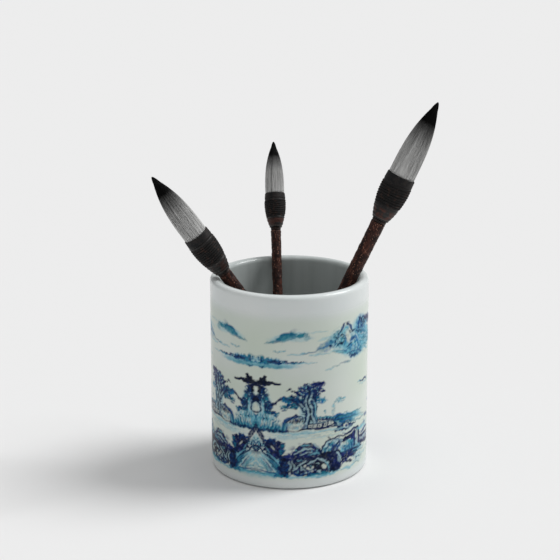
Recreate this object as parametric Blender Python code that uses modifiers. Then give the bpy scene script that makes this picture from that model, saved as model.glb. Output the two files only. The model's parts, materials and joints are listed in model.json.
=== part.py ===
"""Porcelain brush pot holding three calligraphy brushes of one pattern.

Metres, +Z up. The origin is the centre of the pot's foot, and -Y is its front.
Each brush is modelled upright along its own +Z, tail end at z = 0, under an empty
that stands at the tail and leans it against the rim. The empty's Z axis is the
line along which the brush lifts out.
"""
import math

import bpy

MM = 0.001
GAP = 0.3 * MM               # clearance between pieces that touch

# Pot
POT_RADIUS = 50.0 * MM
POT_HEIGHT = 125.0 * MM
WALL = 6.5 * MM
FLOOR = 10.0 * MM
LIP_ROUNDING = 2.8 * MM
FOOT_ROUNDING = 2.7 * MM
INNER_FILLET = 3.0 * MM
POT_STEPS = 56

# Brush pattern. Radii are those of the largest brush; "girth" scales them.
BRUSH_STEPS = 20
TAIL_RADIUS = 3.75 * MM      # handle at its tail end
NECK_RADIUS = 4.6 * MM       # handle where it meets the neck ring
SPIGOT_RADIUS = 2.2 * MM     # peg of the tail cap, inside the handle
TENON_RADIUS = 3.2 * MM      # peg of the handle, inside the bell
CAVITY_RADIUS = 7.0 * MM     # socket for the hair's root
MOUTH_RADIUS = 7.9 * MM      # inside of the collar
COLLAR_RADIUS = 9.2 * MM
BELL_RADIUS = 9.7 * MM       # widest point, over the winding
TUFT_RADIUS = 8.45 * MM
CORE_RADIUS = 3.9 * MM
BOUND_RADIUS = 5.2 * MM      # hair's root under its thread
CAP_LENGTH = 8.0 * MM
SPIGOT_LENGTH = 5.0 * MM
RING_HEIGHT = 1.6 * MM
TENON_LENGTH = 10.0 * MM     # measured from the neck
WINDING_DEPTH = 1.1 * MM
WINDING_TURNS = 6            # visible wraps on the winding's outer side
RESIN_HEIGHT = 2.2 * MM
BINDING_HEIGHT = 3.2 * MM

# Heights on the bell, as fractions of its length from neck to mouth
WINDING_FROM = 0.32
COLLAR_FROM = 0.84
CAVITY_FROM = 0.50
BELL_SWELL_SPAN = 1.42       # the swell is this much of a half sine wave past the mouth
BELL_SWELL_POWER = 0.9

# The hair narrows as a power of the height above the mouth. The core's heights are
# fractions of the tuft's length, and it ends inside the mantle.
TUFT_TAPER_POWER = 2.75
CORE_TIP = 0.70
CORE_TAPER_POWER = 2.2
MANTLE_HEIGHTS = (0.985, 0.94, 0.86, 0.75, 0.60, 0.42, 0.22, 0.08)
CORE_HEIGHTS = (0.55, 0.35, 0.1)

# Each brush: girth, length from tail to neck, bell and tuft lengths, tail's place on
# the pot's floor, lean from vertical, and the compass direction it leans towards
# (degrees from +X towards +Y).
BRUSHES = {
    "left": dict(girth=0.92, neck=143.7 * MM, bell=31.1 * MM, tuft=45.6 * MM,
                 tail=(39.3 * MM, 4.7 * MM), lean=35.2, towards=-170.5),
    "centre": dict(girth=0.735, neck=143.3 * MM, bell=24.2 * MM, tuft=34.7 * MM,
                   tail=(-4.6 * MM, -8.0 * MM), lean=23.1, towards=94.5),
    "right": dict(girth=1.0, neck=166.0 * MM, bell=31.9 * MM, tuft=50.3 * MM,
                  tail=(-14.1 * MM, -10.7 * MM), lean=25.4, towards=4.3),
}

# Material name: base colour, roughness, metallic
MATERIALS = {
    "glaze": ((0.74, 0.79, 0.78), 0.18, 0.0),
    "handle_wood": ((0.075, 0.030, 0.022), 0.65, 0.0),
    "horn": ((0.020, 0.017, 0.016), 0.35, 0.0),
    "neck_lacquer": ((0.060, 0.030, 0.026), 0.25, 0.0),
    "bell_lacquer": ((0.016, 0.015, 0.015), 0.40, 0.0),
    "cord": ((0.022, 0.021, 0.021), 0.80, 0.0),
    "collar_lacquer": ((0.025, 0.029, 0.034), 0.45, 0.0),
    "hair": ((0.22, 0.22, 0.21), 0.60, 0.0),
    "core_hair": ((0.12, 0.11, 0.10), 0.65, 0.0),
    "thread": ((0.55, 0.48, 0.36), 0.80, 0.0),
    "resin": ((0.35, 0.20, 0.07), 0.30, 0.0),
}


def clear_scene():
    for obj in list(bpy.data.objects):
        bpy.data.objects.remove(obj, do_unlink=True)


def make_material(name):
    colour, roughness, metallic = MATERIALS[name]
    material = bpy.data.materials.new(name)
    material.use_nodes = True
    shader = material.node_tree.nodes["Principled BSDF"]
    shader.inputs["Base Color"].default_value = (*colour, 1.0)
    shader.inputs["Roughness"].default_value = roughness
    shader.inputs["Metallic"].default_value = metallic
    return material


def arc(centre, radius, start, end, count):
    """Points of an arc in the (radius, height) plane, angles in degrees from +radius."""
    points = []
    for i in range(count + 1):
        angle = math.radians(start + (end - start) * i / count)
        points.append((centre[0] + radius * math.cos(angle),
                       centre[1] + radius * math.sin(angle)))
    return points


def turned(name, outline, material, steps, collection, parent=None, closed=False):
    """A solid of revolution about Z. The outline's (radius, height) points run down
    its outer side. It starts and ends on the axis, or is a closed loop for a ring."""
    vertices = [(radius, 0.0, height) for radius, height in outline]
    edges = [(i, i + 1) for i in range(len(outline) - 1)]
    if closed:
        edges.append((len(outline) - 1, 0))
    mesh = bpy.data.meshes.new(name)
    mesh.from_pydata(vertices, edges, [])
    obj = bpy.data.objects.new(name, mesh)
    collection.objects.link(obj)
    obj.parent = parent
    screw = obj.modifiers.new("Screw", "SCREW")
    screw.axis = "Z"
    screw.angle = math.tau
    screw.steps = steps
    screw.render_steps = steps
    screw.use_merge_vertices = True
    screw.merge_threshold = 0.00001
    screw.use_smooth_shade = True
    obj.data.materials.append(material)
    return obj


def make_pot(collection, materials):
    """One thrown body: flat foot, straight wall, rounded lip."""
    inner = POT_RADIUS - WALL
    outline = [(0.0, FLOOR)]
    outline += arc((inner - INNER_FILLET, FLOOR + INNER_FILLET), INNER_FILLET, -90, 0, 3)
    outline += arc((inner + LIP_ROUNDING, POT_HEIGHT - LIP_ROUNDING), LIP_ROUNDING, 180, 90, 4)
    outline += arc((POT_RADIUS - LIP_ROUNDING, POT_HEIGHT - LIP_ROUNDING), LIP_ROUNDING, 90, 0, 4)
    outline += arc((POT_RADIUS - FOOT_ROUNDING, FOOT_ROUNDING), FOOT_ROUNDING, 0, -90, 3)
    outline.append((0.0, 0.0))
    turned("pot_body", outline, materials["glaze"], POT_STEPS, collection)


def bell_radius(fraction):
    """Outer radius of the largest brush's bell, from neck (0) to mouth (1)."""
    swell = math.sin(math.pi * fraction / BELL_SWELL_SPAN) ** BELL_SWELL_POWER
    return NECK_RADIUS + (BELL_RADIUS - NECK_RADIUS) * swell


def tuft_radius(fraction):
    """Outer radius of the largest brush's hair, from mouth (0) to tip (1)."""
    return TUFT_RADIUS * (1.0 - fraction ** TUFT_TAPER_POWER)


def core_radius(fraction):
    """Radius of the largest brush's inner hair, from mouth (0) to the core's tip."""
    return CORE_RADIUS * (1.0 - (fraction / CORE_TIP) ** CORE_TAPER_POWER)


class Brush:
    """One brush: its sizes, its empty, and a function for each of its pieces."""

    def __init__(self, name, spec, collection, materials):
        self.name = name
        self.girth = spec["girth"]
        self.neck = spec["neck"]
        self.bell = spec["bell"]
        self.mouth = self.neck + self.bell
        self.tuft = spec["tuft"]
        self.collection = collection
        self.materials = materials
        self.base = self.place(spec)

    def place(self, spec):
        """The empty at the tail: its rounded end just clears the pot's floor."""
        tail_round = TAIL_RADIUS * self.girth
        lean = math.radians(spec["lean"])
        towards = math.radians(spec["towards"])
        axis = (math.sin(lean) * math.cos(towards), math.sin(lean) * math.sin(towards),
                math.cos(lean))
        centre = (*spec["tail"], FLOOR + GAP + tail_round)
        empty = bpy.data.objects.new(self.name + "_axis", None)
        empty.location = [c - a * tail_round for c, a in zip(centre, axis)]
        empty.rotation_euler = (0.0, lean, towards)
        self.collection.objects.link(empty)
        return empty

    def piece(self, name, outline, material, closed=False):
        return turned(self.name + "_" + name, outline, self.materials[material],
                      BRUSH_STEPS, self.collection, self.base, closed)

    def handle_radius(self, height):
        taper = TAIL_RADIUS + (NECK_RADIUS - TAIL_RADIUS) * height / self.neck
        return taper * self.girth

    def bell_at(self, fraction, inset=0.0):
        """A point on the bell's outer side, or inset from it."""
        return (bell_radius(fraction) * self.girth - inset, self.neck + self.bell * fraction)

    def make_tail_cap(self):
        round_end = TAIL_RADIUS * self.girth
        spigot = SPIGOT_RADIUS * self.girth
        outline = [(0.0, CAP_LENGTH + SPIGOT_LENGTH), (spigot, CAP_LENGTH + SPIGOT_LENGTH),
                   (spigot, CAP_LENGTH), (self.handle_radius(CAP_LENGTH), CAP_LENGTH)]
        outline += arc((0.0, round_end), round_end, 0, -90, 4)[:-1]
        outline.append((0.0, 0.0))
        self.piece("tail_cap", outline, "horn")

    def make_handle(self):
        bore = SPIGOT_RADIUS * self.girth + GAP
        tenon = TENON_RADIUS * self.girth
        bottom = CAP_LENGTH + GAP
        top = self.neck - GAP
        outline = [(0.0, self.neck + TENON_LENGTH * self.girth),
                   (tenon, self.neck + TENON_LENGTH * self.girth),
                   (tenon, top), (self.handle_radius(top), top)]
        for i in (2, 1):
            height = bottom + (top - bottom) * i / 3
            outline.append((self.handle_radius(height), height))
        outline += [(self.handle_radius(bottom), bottom), (bore, bottom),
                    (bore, CAP_LENGTH + SPIGOT_LENGTH + GAP),
                    (0.0, CAP_LENGTH + SPIGOT_LENGTH + GAP)]
        self.piece("handle", outline, "handle_wood")

    def make_neck_ring(self):
        """A bead round the tenon, between the handle and the bell."""
        height = RING_HEIGHT * self.girth
        hole = TENON_RADIUS * self.girth + GAP
        inner_edge = (NECK_RADIUS - 0.3 * MM) * self.girth
        outline = [(hole, self.neck + height)]
        outline += arc((inner_edge, self.neck + height / 2), height / 2, 90, -90, 4)
        outline.append((hole, self.neck))
        self.piece("neck_ring", outline, "neck_lacquer", closed=True)

    def make_bell(self):
        """The socket, bored from below for the tenon and from above for the hair."""
        cavity = CAVITY_RADIUS * self.girth
        bore = TENON_RADIUS * self.girth + GAP
        bottom = self.neck + RING_HEIGHT * self.girth + GAP
        bottom_fraction = (bottom - self.neck) / self.bell
        top = self.neck + self.bell * COLLAR_FROM - GAP
        floor = self.neck + self.bell * CAVITY_FROM
        waist = WINDING_DEPTH + GAP
        span = COLLAR_FROM - WINDING_FROM
        outline = [(0.0, floor), (cavity, floor), (cavity, top)]
        outline.append((self.bell_at(COLLAR_FROM, waist)[0], top))
        for i in (2, 1, 0):
            outline.append(self.bell_at(WINDING_FROM + span * i / 3, waist))
        outline.append(self.bell_at(WINDING_FROM))
        middle = (WINDING_FROM + bottom_fraction) / 2
        outline += [self.bell_at(middle), self.bell_at(bottom_fraction)]
        tenon_end = self.neck + TENON_LENGTH * self.girth + GAP
        outline += [(bore, bottom), (bore, tenon_end), (0.0, tenon_end)]
        self.piece("bell", outline, "bell_lacquer")

    def make_winding(self):
        """The cord wound round the bell's waist, as one ring with a ridge for each wrap."""
        first = WINDING_FROM + GAP / self.bell
        last = COLLAR_FROM - GAP / self.bell
        groove = 0.35 * MM * self.girth
        outline = [self.bell_at(last, WINDING_DEPTH)]
        for i in range(2 * WINDING_TURNS + 1):
            fraction = last + (first - last) * i / (2 * WINDING_TURNS)
            outline.append(self.bell_at(fraction, 0.0 if i % 2 else groove))
        for i in range(3):
            outline.append(self.bell_at(first + (last - first) * i / 3, WINDING_DEPTH))
        self.piece("winding", outline, "cord", closed=True)

    def make_collar(self):
        """The smooth sleeve at the bell's mouth."""
        outer = COLLAR_RADIUS * self.girth
        mouth = MOUTH_RADIUS * self.girth
        bottom = self.neck + self.bell * COLLAR_FROM
        edge = 0.4 * MM * self.girth
        outline = [(mouth, self.mouth), (outer - edge, self.mouth),
                   (outer, self.mouth - edge * 2), (outer + edge / 2, bottom + edge),
                   (outer, bottom), (CAVITY_RADIUS * self.girth, bottom)]
        self.piece("collar", outline, "collar_lacquer", closed=True)

    def root(self):
        """Height of the hair's root, on the resin."""
        return self.neck + self.bell * CAVITY_FROM + RESIN_HEIGHT * self.girth + GAP

    def make_root_resin(self):
        radius = CAVITY_RADIUS * self.girth - GAP
        bottom = self.neck + self.bell * CAVITY_FROM + GAP
        outline = [(0.0, self.root() - GAP), (radius, self.root() - GAP),
                   (radius, bottom), (0.0, bottom)]
        self.piece("root_resin", outline, "resin")

    def make_root_binding(self):
        outer = CAVITY_RADIUS * self.girth - GAP
        inner = BOUND_RADIUS * self.girth + GAP
        bottom = self.root()
        top = bottom + BINDING_HEIGHT * self.girth
        middle = (bottom + top) / 2
        outline = [(inner, top), (outer - GAP, top), (outer, middle),
                   (outer - GAP, bottom), (inner, bottom)]
        self.piece("root_binding", outline, "thread", closed=True)

    def tuft_height(self, fraction):
        return self.mouth + self.tuft * fraction

    def make_tuft_core(self):
        radius = CORE_RADIUS * self.girth
        outline = [(0.0, self.tuft_height(CORE_TIP))]
        for fraction in CORE_HEIGHTS:
            outline.append((core_radius(fraction) * self.girth, self.tuft_height(fraction)))
        outline += [(radius, self.root()), (0.0, self.root())]
        self.piece("tuft_core", outline, "core_hair")

    def make_tuft_mantle(self):
        """The outer layer of hair: a pointed shell, open below for the core."""
        inside = CORE_RADIUS * self.girth + GAP
        bound = BOUND_RADIUS * self.girth
        binding_top = self.root() + BINDING_HEIGHT * self.girth + GAP
        collar_bottom = self.neck + self.bell * COLLAR_FROM
        outline = [(0.0, self.tuft_height(1.0))]
        for fraction in MANTLE_HEIGHTS:
            outline.append((tuft_radius(fraction) * self.girth, self.tuft_height(fraction)))
        outline += [(MOUTH_RADIUS * self.girth - GAP, self.mouth),
                    (CAVITY_RADIUS * self.girth - GAP, collar_bottom), (bound, binding_top),
                    (bound, self.root()), (inside, self.root())]
        for fraction in reversed(CORE_HEIGHTS):
            outline.append((core_radius(fraction) * self.girth + GAP, self.tuft_height(fraction)))
        outline.append((0.0, self.tuft_height(CORE_TIP) + 3 * GAP))
        self.piece("tuft_mantle", outline, "hair")

    def make(self):
        self.make_tail_cap()
        self.make_handle()
        self.make_neck_ring()
        self.make_bell()
        self.make_winding()
        self.make_collar()
        self.make_root_resin()
        self.make_root_binding()
        self.make_tuft_core()
        self.make_tuft_mantle()


def main():
    clear_scene()
    collection = bpy.data.collections.new("brush_holder_pot")
    bpy.context.scene.collection.children.link(collection)
    materials = {name: make_material(name) for name in MATERIALS}
    make_pot(collection, materials)
    for name, spec in BRUSHES.items():
        Brush(name, spec, collection, materials).make()


main()
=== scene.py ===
"""Looks for a painted porcelain brush pot with three calligraphy brushes leaning in it.

Lengths are in metres unless a name or comment says mm. The pot stands on z = 0 with its
front towards -Y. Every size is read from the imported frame. Brush pieces are modelled
upright in their brush's own frame (tail end at z = 0, +Z towards the hair's tip).
"""

import json
import math

import bpy
import numpy as np
from mathutils import Matrix, Vector


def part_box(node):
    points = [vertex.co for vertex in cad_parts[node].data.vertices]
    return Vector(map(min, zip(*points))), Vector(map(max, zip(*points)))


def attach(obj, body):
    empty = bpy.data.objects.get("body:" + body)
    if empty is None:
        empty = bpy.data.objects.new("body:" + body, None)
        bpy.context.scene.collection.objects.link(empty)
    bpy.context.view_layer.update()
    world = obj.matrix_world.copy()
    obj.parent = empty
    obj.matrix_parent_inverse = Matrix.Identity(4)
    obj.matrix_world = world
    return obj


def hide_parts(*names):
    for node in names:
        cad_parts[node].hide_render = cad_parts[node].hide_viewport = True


MM = 0.001
SEED = 41

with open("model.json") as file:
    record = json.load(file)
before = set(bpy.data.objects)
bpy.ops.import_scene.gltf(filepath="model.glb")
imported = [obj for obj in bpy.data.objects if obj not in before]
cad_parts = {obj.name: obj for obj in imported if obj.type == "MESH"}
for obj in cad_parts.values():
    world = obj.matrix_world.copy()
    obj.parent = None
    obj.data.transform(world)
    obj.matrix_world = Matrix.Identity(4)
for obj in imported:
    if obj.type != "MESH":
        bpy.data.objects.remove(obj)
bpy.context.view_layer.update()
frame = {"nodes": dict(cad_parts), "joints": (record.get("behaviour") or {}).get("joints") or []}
nodes = frame["nodes"]


# ---------------------------------------------------------------- meshes

def new_object(name, vertices, faces, smooth=True):
    mesh = bpy.data.meshes.new(name)
    mesh.from_pydata(np.asarray(vertices).tolist(), [], faces)
    if smooth:
        mesh.shade_smooth()
    obj = bpy.data.objects.new(name, mesh)
    bpy.context.scene.collection.objects.link(obj)
    return obj


def grid_faces(rows, columns, first=0):
    """Quads of a grid whose columns close into a ring. Rows run from the bottom up."""
    j, i = np.meshgrid(np.arange(rows - 1), np.arange(columns), indexing="ij")
    after = (i + 1) % columns
    quads = np.stack([j * columns + i, j * columns + after,
                      (j + 1) * columns + after, (j + 1) * columns + i], -1)
    return (quads.reshape(-1, 4) + first).tolist()


def ring_angles(columns):
    return np.arange(columns) * math.tau / columns


def ring_grid(radii, heights, columns):
    """The (rows, columns, 3) points of a turned grid."""
    angles = ring_angles(columns)
    radii = np.broadcast_to(np.asarray(radii, float)[:, None], (len(heights), columns))
    heights = np.broadcast_to(np.asarray(heights, float)[:, None], radii.shape)
    return np.stack([radii * np.cos(angles), radii * np.sin(angles), heights], -1)


def turned_parts(points):
    """Vertices and faces of a (rows, columns, 3) grid, its open ends closed by fans."""
    rows, columns, _ = points.shape
    vertices = np.vstack([points.reshape(-1, 3), points[0].mean(0), points[-1].mean(0)])
    first, top = rows * columns, (rows - 1) * columns
    faces = grid_faces(rows, columns)
    faces += [(first, (i + 1) % columns, i) for i in range(columns)]
    faces += [(first + 1, top + i, top + (i + 1) % columns) for i in range(columns)]
    return vertices, faces


def closed_ring(outline, columns):
    """Vertices and faces of a ring whose section is the closed outline of (radius, height)
    points, which runs up its outer side and down its inner side."""
    radii, heights = np.transpose(outline)
    rows = len(outline)
    faces = grid_faces(rows, columns)
    last = (rows - 1) * columns
    faces += [(last + i, last + (i + 1) % columns, (i + 1) % columns, i)
              for i in range(columns)]
    return ring_grid(radii, heights, columns).reshape(-1, 3), faces


def bridge(low, n, high, m):
    """Faces between a ring of n vertices from index low and one of m from index high,
    where m is n, its half or its double."""
    if n == m:
        i = np.arange(n)
        after = (i + 1) % n
        made = [low + i, low + after, high + after, high + i]
    elif n == 2 * m:
        k = np.arange(m)
        made = [low + 2 * k, low + 2 * k + 1, low + (2 * k + 2) % n, high + (k + 1) % m,
                high + k]
    else:
        k = np.arange(n)
        made = [low + k, low + (k + 1) % n, high + (2 * k + 2) % m, high + 2 * k + 1,
                high + 2 * k]
    return np.stack(made, -1).tolist()


def stepped_rings(rows):
    """Angles, radii, heights and faces of stacked rings, closed by a fan at each end. A row
    is (radius, height, columns)."""
    angle, radius, height, faces, first = [], [], [], [], 0
    for index, (r, z, columns) in enumerate(rows):
        if index:
            before = rows[index - 1][2]
            faces += bridge(first - before, before, first, columns)
        angle.append(ring_angles(columns))
        radius.append(np.full(columns, r))
        height.append(np.full(columns, z))
        first += columns
    low, high = rows[0][2], rows[-1][2]
    faces += [(first, (i + 1) % low, i) for i in range(low)]
    faces += [(first + 1, first - high + i, first - high + (i + 1) % high) for i in range(high)]
    angle.append(np.zeros(2))
    radius.append(np.zeros(2))
    height.append(np.array([rows[0][1], rows[-1][1]]))
    return np.concatenate(angle), np.concatenate(radius), np.concatenate(height), faces


def put_attribute(obj, name, values, kind="FLOAT"):
    """Stores one value (or one RGBA colour) for each vertex."""
    attribute = obj.data.attributes.new(name, kind, "POINT")
    field = "color" if kind == "FLOAT_COLOR" else "value"
    attribute.data.foreach_set(field, np.asarray(values, np.float32).ravel())


def arc(centre, radius, start, end, count):
    """(radius, height) points of an arc, angles in degrees from +radius."""
    angles = np.radians(np.linspace(start, end, count + 1))
    return [(centre[0] + radius * math.cos(a), centre[1] + radius * math.sin(a))
            for a in angles]


def smoothstep(low, high, x):
    t = np.clip((x - low) / (high - low), 0.0, 1.0)
    return t * t * (3.0 - 2.0 * t)


def lattice_noise(rng, x, y, wrap=None):
    """Smooth noise in 0..1 with a cell of 1; x may wrap after a whole number of cells."""
    columns = wrap or int(np.ceil(x.max() - x.min())) + 3
    rows = int(np.ceil(y.max() - y.min())) + 3
    table = rng.random((rows, columns))
    x = x - (0.0 if wrap else x.min())
    y = y - y.min()
    x0, y0 = np.floor(x).astype(int), np.floor(y).astype(int)
    fx, fy = smoothstep(0, 1, x - x0), smoothstep(0, 1, y - y0)
    x1 = (x0 + 1) % columns
    x0 = x0 % columns
    low = table[y0, x0] * (1 - fx) + table[y0, x1] * fx
    high = table[y0 + 1, x0] * (1 - fx) + table[y0 + 1, x1] * fx
    return low * (1 - fy) + high * fy


# ---------------------------------------------------------------- materials

def new_material(name):
    material = bpy.data.materials.new(name)
    material.use_nodes = True
    return material, material.node_tree, material.node_tree.nodes["Principled BSDF"]


def add_node(tree, kind, inputs=None, **settings):
    """Adds a shader node. Inputs are values or output sockets of other nodes."""
    made = tree.nodes.new("ShaderNode" + kind)
    for key, value in settings.items():
        setattr(made, key, value)
    for key, value in (inputs or {}).items():
        if isinstance(value, bpy.types.NodeSocket):
            tree.links.new(value, made.inputs[key])
        else:
            made.inputs[key].default_value = value
    return made


def math_node(tree, operation, a, b=0.0, clamp=False):
    inputs = {0: a, 1: b}
    return add_node(tree, "Math", inputs, operation=operation, use_clamp=clamp).outputs[0]


def times(tree, a, b):
    return math_node(tree, "MULTIPLY", a, b)


def plus(tree, a, b, clamp=False):
    return math_node(tree, "ADD", a, b, clamp)


def minus(tree, a, b):
    return math_node(tree, "SUBTRACT", a, b)


def remap(tree, value, from_low, from_high, to_low=0.0, to_high=1.0):
    inputs = {"Value": value, "From Min": from_low, "From Max": from_high,
              "To Min": to_low, "To Max": to_high}
    return add_node(tree, "MapRange", inputs, clamp=True).outputs["Result"]


def mix_colour(tree, factor, a, b, blend_type="MIX"):
    a = (*a, 1.0) if isinstance(a, tuple) and len(a) == 3 else a
    b = (*b, 1.0) if isinstance(b, tuple) and len(b) == 3 else b
    made = add_node(tree, "Mix", {0: factor, 6: a, 7: b}, data_type="RGBA",
                    blend_type=blend_type)
    return made.outputs[2]


def local_coordinates(tree, stretch=(1.0, 1.0, 1.0)):
    """Object coordinates in metres, scaled along each axis."""
    source = add_node(tree, "TexCoord").outputs["Object"]
    mapping = add_node(tree, "Mapping", {"Vector": source, "Scale": stretch})
    return mapping.outputs["Vector"]


def noise(tree, vector, scale, detail, roughness=0.55, distortion=0.0):
    inputs = {"Vector": vector, "Scale": scale, "Detail": detail,
              "Roughness": roughness, "Distortion": distortion}
    return add_node(tree, "TexNoise", inputs).outputs["Fac"]


def attribute(tree, name, output="Fac"):
    return add_node(tree, "Attribute", attribute_name=name).outputs[output]


def bump(tree, height, strength, distance, normal=None):
    inputs = {"Height": height, "Strength": strength, "Distance": distance}
    if normal is not None:
        inputs["Normal"] = normal
    return add_node(tree, "Bump", inputs).outputs["Normal"]


def ramp(tree, value, stops):
    """A colour ramp through (position, (r, g, b)) stops."""
    made = add_node(tree, "ValToRGB", {"Fac": value})
    elements = made.color_ramp.elements
    while len(elements) < len(stops):
        elements.new(0.5)
    for element, (position, colour) in zip(elements, stops):
        element.position = position
        element.color = (*colour, 1.0)
    return made.outputs["Color"]


def finish_material(tree, shader, colour, roughness, normal, **constants):
    tree.links.new(colour, shader.inputs["Base Color"])
    tree.links.new(roughness, shader.inputs["Roughness"])
    tree.links.new(normal, shader.inputs["Normal"])
    for key, value in constants.items():
        shader.inputs[key.replace("_", " ")].default_value = value


GLAZE = (0.735, 0.765, 0.755)
GLAZE_COOL = (0.690, 0.740, 0.738)
BAND_TINT = (0.605, 0.680, 0.590)    # the ivory-green wash under the painting
# The inside's greys are painted shade: the pot's interior and lip crest darkened to look shaded.
INNER_PAINTED_SHADE = (0.495, 0.535, 0.527)
INNER_PAINTED_SHADE_DARK = (0.430, 0.468, 0.460)


def glaze_material(name, specular):
    """Clear glaze over blue underglaze painting, read from the mesh's paint attribute."""
    material, tree, shader = new_material(name)
    place = local_coordinates(tree)
    cloud = noise(tree, place, 28.0, 4.0)
    white = mix_colour(tree, remap(tree, cloud, 0.35, 0.7), GLAZE, GLAZE_COOL)
    white = mix_colour(tree, attribute(tree, "tint"), white, BAND_TINT)
    # The inside gets painted shade: darker greys in random vertical streaks, mixed in by the
    # inside attribute.
    streaks = noise(tree, local_coordinates(tree, (1.0, 1.0, 0.06)), 150.0, 3.0)
    inner = mix_colour(tree, remap(tree, streaks, 0.3, 0.7), INNER_PAINTED_SHADE, INNER_PAINTED_SHADE_DARK)
    base = mix_colour(tree, attribute(tree, "inside"), white, inner)
    specks = noise(tree, place, 900.0, 2.0)
    base = mix_colour(tree, remap(tree, specks, 0.72, 0.80, 0.0, 0.3), base, (0.42, 0.40, 0.34))

    cover = remap(tree, attribute(tree, "paint", "Alpha"), 0.0, 0.92)
    bleed = noise(tree, place, 1500.0, 3.0, 0.6)
    pool = noise(tree, place, 420.0, 3.0, 0.6)
    edge = times(tree, cover, minus(tree, 1.0, cover))
    shift = minus(tree, bleed, 0.5)
    ragged = times(tree, edge, times(tree, shift, 2.0))
    strength = times(tree, cover, remap(tree, pool, 0.3, 0.65, 0.95, 1.03))
    coverage = plus(tree, strength, ragged, clamp=True)
    ink = attribute(tree, "paint", "Color")
    pooled = remap(tree, pool, 0.42, 0.66, 0.0, 0.6)
    ink = mix_colour(tree, pooled, ink, (0.55, 0.60, 0.70), "MULTIPLY")
    painted = mix_colour(tree, coverage, base, ink)

    ripples = noise(tree, place, 320.0, 2.0)
    rough = remap(tree, noise(tree, place, 60.0, 3.0), 0.3, 0.7, 0.14, 0.24)
    rough = plus(tree, rough, times(tree, coverage, 0.08))
    waves = bump(tree, ripples, 0.25, 0.00008)
    normal = bump(tree, coverage, 0.2, 0.00005, waves)
    finish_material(tree, shader, painted, rough, normal, IOR=1.5, Specular_IOR_Level=specular)
    return material


def biscuit_material():
    """Unglazed clay of the foot."""
    material, tree, shader = new_material("unglazed_foot")
    place = local_coordinates(tree)
    grain = noise(tree, place, 1800.0, 4.0, 0.7)
    stain = noise(tree, place, 70.0, 4.0)
    clay = mix_colour(tree, remap(tree, stain, 0.35, 0.7), (0.62, 0.56, 0.47),
                      (0.47, 0.38, 0.28))
    clay = mix_colour(tree, remap(tree, grain, 0.55, 0.8, 0.0, 0.5), clay,
                      (0.25, 0.19, 0.14))
    rough = remap(tree, grain, 0.3, 0.7, 0.78, 0.95)
    finish_material(tree, shader, clay, rough, bump(tree, grain, 0.6, 0.0002))
    return material


def wood_material():
    """Dark, rough, mottled red-brown wood with lighter flecks in its pits."""
    material, tree, shader = new_material("mottled_wood")
    place = local_coordinates(tree)
    along = local_coordinates(tree, (1.0, 1.0, 0.45))
    blotches = noise(tree, along, 330.0, 5.0, 0.65, 0.5)
    grain = noise(tree, local_coordinates(tree, (1.0, 1.0, 0.15)), 1100.0, 4.0, 0.6)
    wood = ramp(tree, blotches, [(0.32, (0.009, 0.004, 0.004)), (0.47, (0.022, 0.008, 0.006)),
                                 (0.58, (0.060, 0.018, 0.011)), (0.70, (0.130, 0.042, 0.026))])
    wood = mix_colour(tree, remap(tree, grain, 0.45, 0.75, 0.0, 0.6), wood,
                      (0.010, 0.005, 0.005))
    flecks = add_node(tree, "TexVoronoi", {"Vector": along, "Scale": 1300.0,
                                           "Randomness": 1.0})
    fleck = remap(tree, flecks.outputs["Distance"], 0.14, 0.32, 1.0, 0.0)
    where = remap(tree, noise(tree, place, 300.0, 2.0), 0.44, 0.56)
    fleck = times(tree, fleck, where)
    wood = mix_colour(tree, times(tree, fleck, 0.8), wood,
                      (0.50, 0.24, 0.16))
    rough = remap(tree, blotches, 0.3, 0.7, 0.72, 0.5)
    height = plus(tree, blotches, times(tree, grain, 0.5))
    normal = bump(tree, height, 0.8, 0.0004)
    finish_material(tree, shader, wood, rough, normal, Specular_IOR_Level=0.22)
    return material


def band_mask(tree, height, middle, half, soft):
    """One inside a height band, fading to zero over soft, all in metres."""
    away = math_node(tree, "ABSOLUTE", minus(tree, height, middle))
    return remap(tree, away, half, half + soft, 1.0, 0.0)


def bell_material(name, low, high, wear):
    """Black lacquer worn to red-brown in windows above the neck, with two thin light lines that
    are painted highlights.
    """
    material, tree, shader = new_material(name)
    place = local_coordinates(tree)
    source = add_node(tree, "TexCoord").outputs["Object"]
    height = add_node(tree, "SeparateXYZ", {"Vector": source}).outputs["Z"]
    length = high - low
    patches = noise(tree, place, 210.0, 3.0, 0.55, 0.3)
    grime = noise(tree, place, 700.0, 4.0, 0.65)
    tone = mix_colour(tree, remap(tree, grime, 0.40, 0.65), (0.006, 0.006, 0.006),
                      (0.020, 0.017, 0.016))
    window = band_mask(tree, height, low + 0.15 * length, 0.07 * length, 0.05 * length)
    worn = times(tree, window, remap(tree, patches, 0.46, 0.56))
    tone = mix_colour(tree, times(tree, worn, wear), tone, (0.070, 0.022, 0.014))
    # Two thin broken light lines round the bell: painted highlights along its rings.
    for share, patchy_from in ((0.045, 0.30), (0.275, 0.50)):
        line = band_mask(tree, height, low + share * length, 0.10 * MM, 0.22 * MM)
        broken = remap(tree, noise(tree, place, 320.0, 2.0), patchy_from, patchy_from + 0.08)
        painted_highlight = times(tree, line, times(tree, broken, 0.85))
        tone = mix_colour(tree, painted_highlight, tone, (0.085, 0.068, 0.062))
    rough = remap(tree, patches, 0.3, 0.7, 0.38, 0.6)
    normal = bump(tree, grime, 0.4, 0.00015)
    finish_material(tree, shader, tone, rough, normal, Specular_IOR_Level=0.3)
    return material


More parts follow.
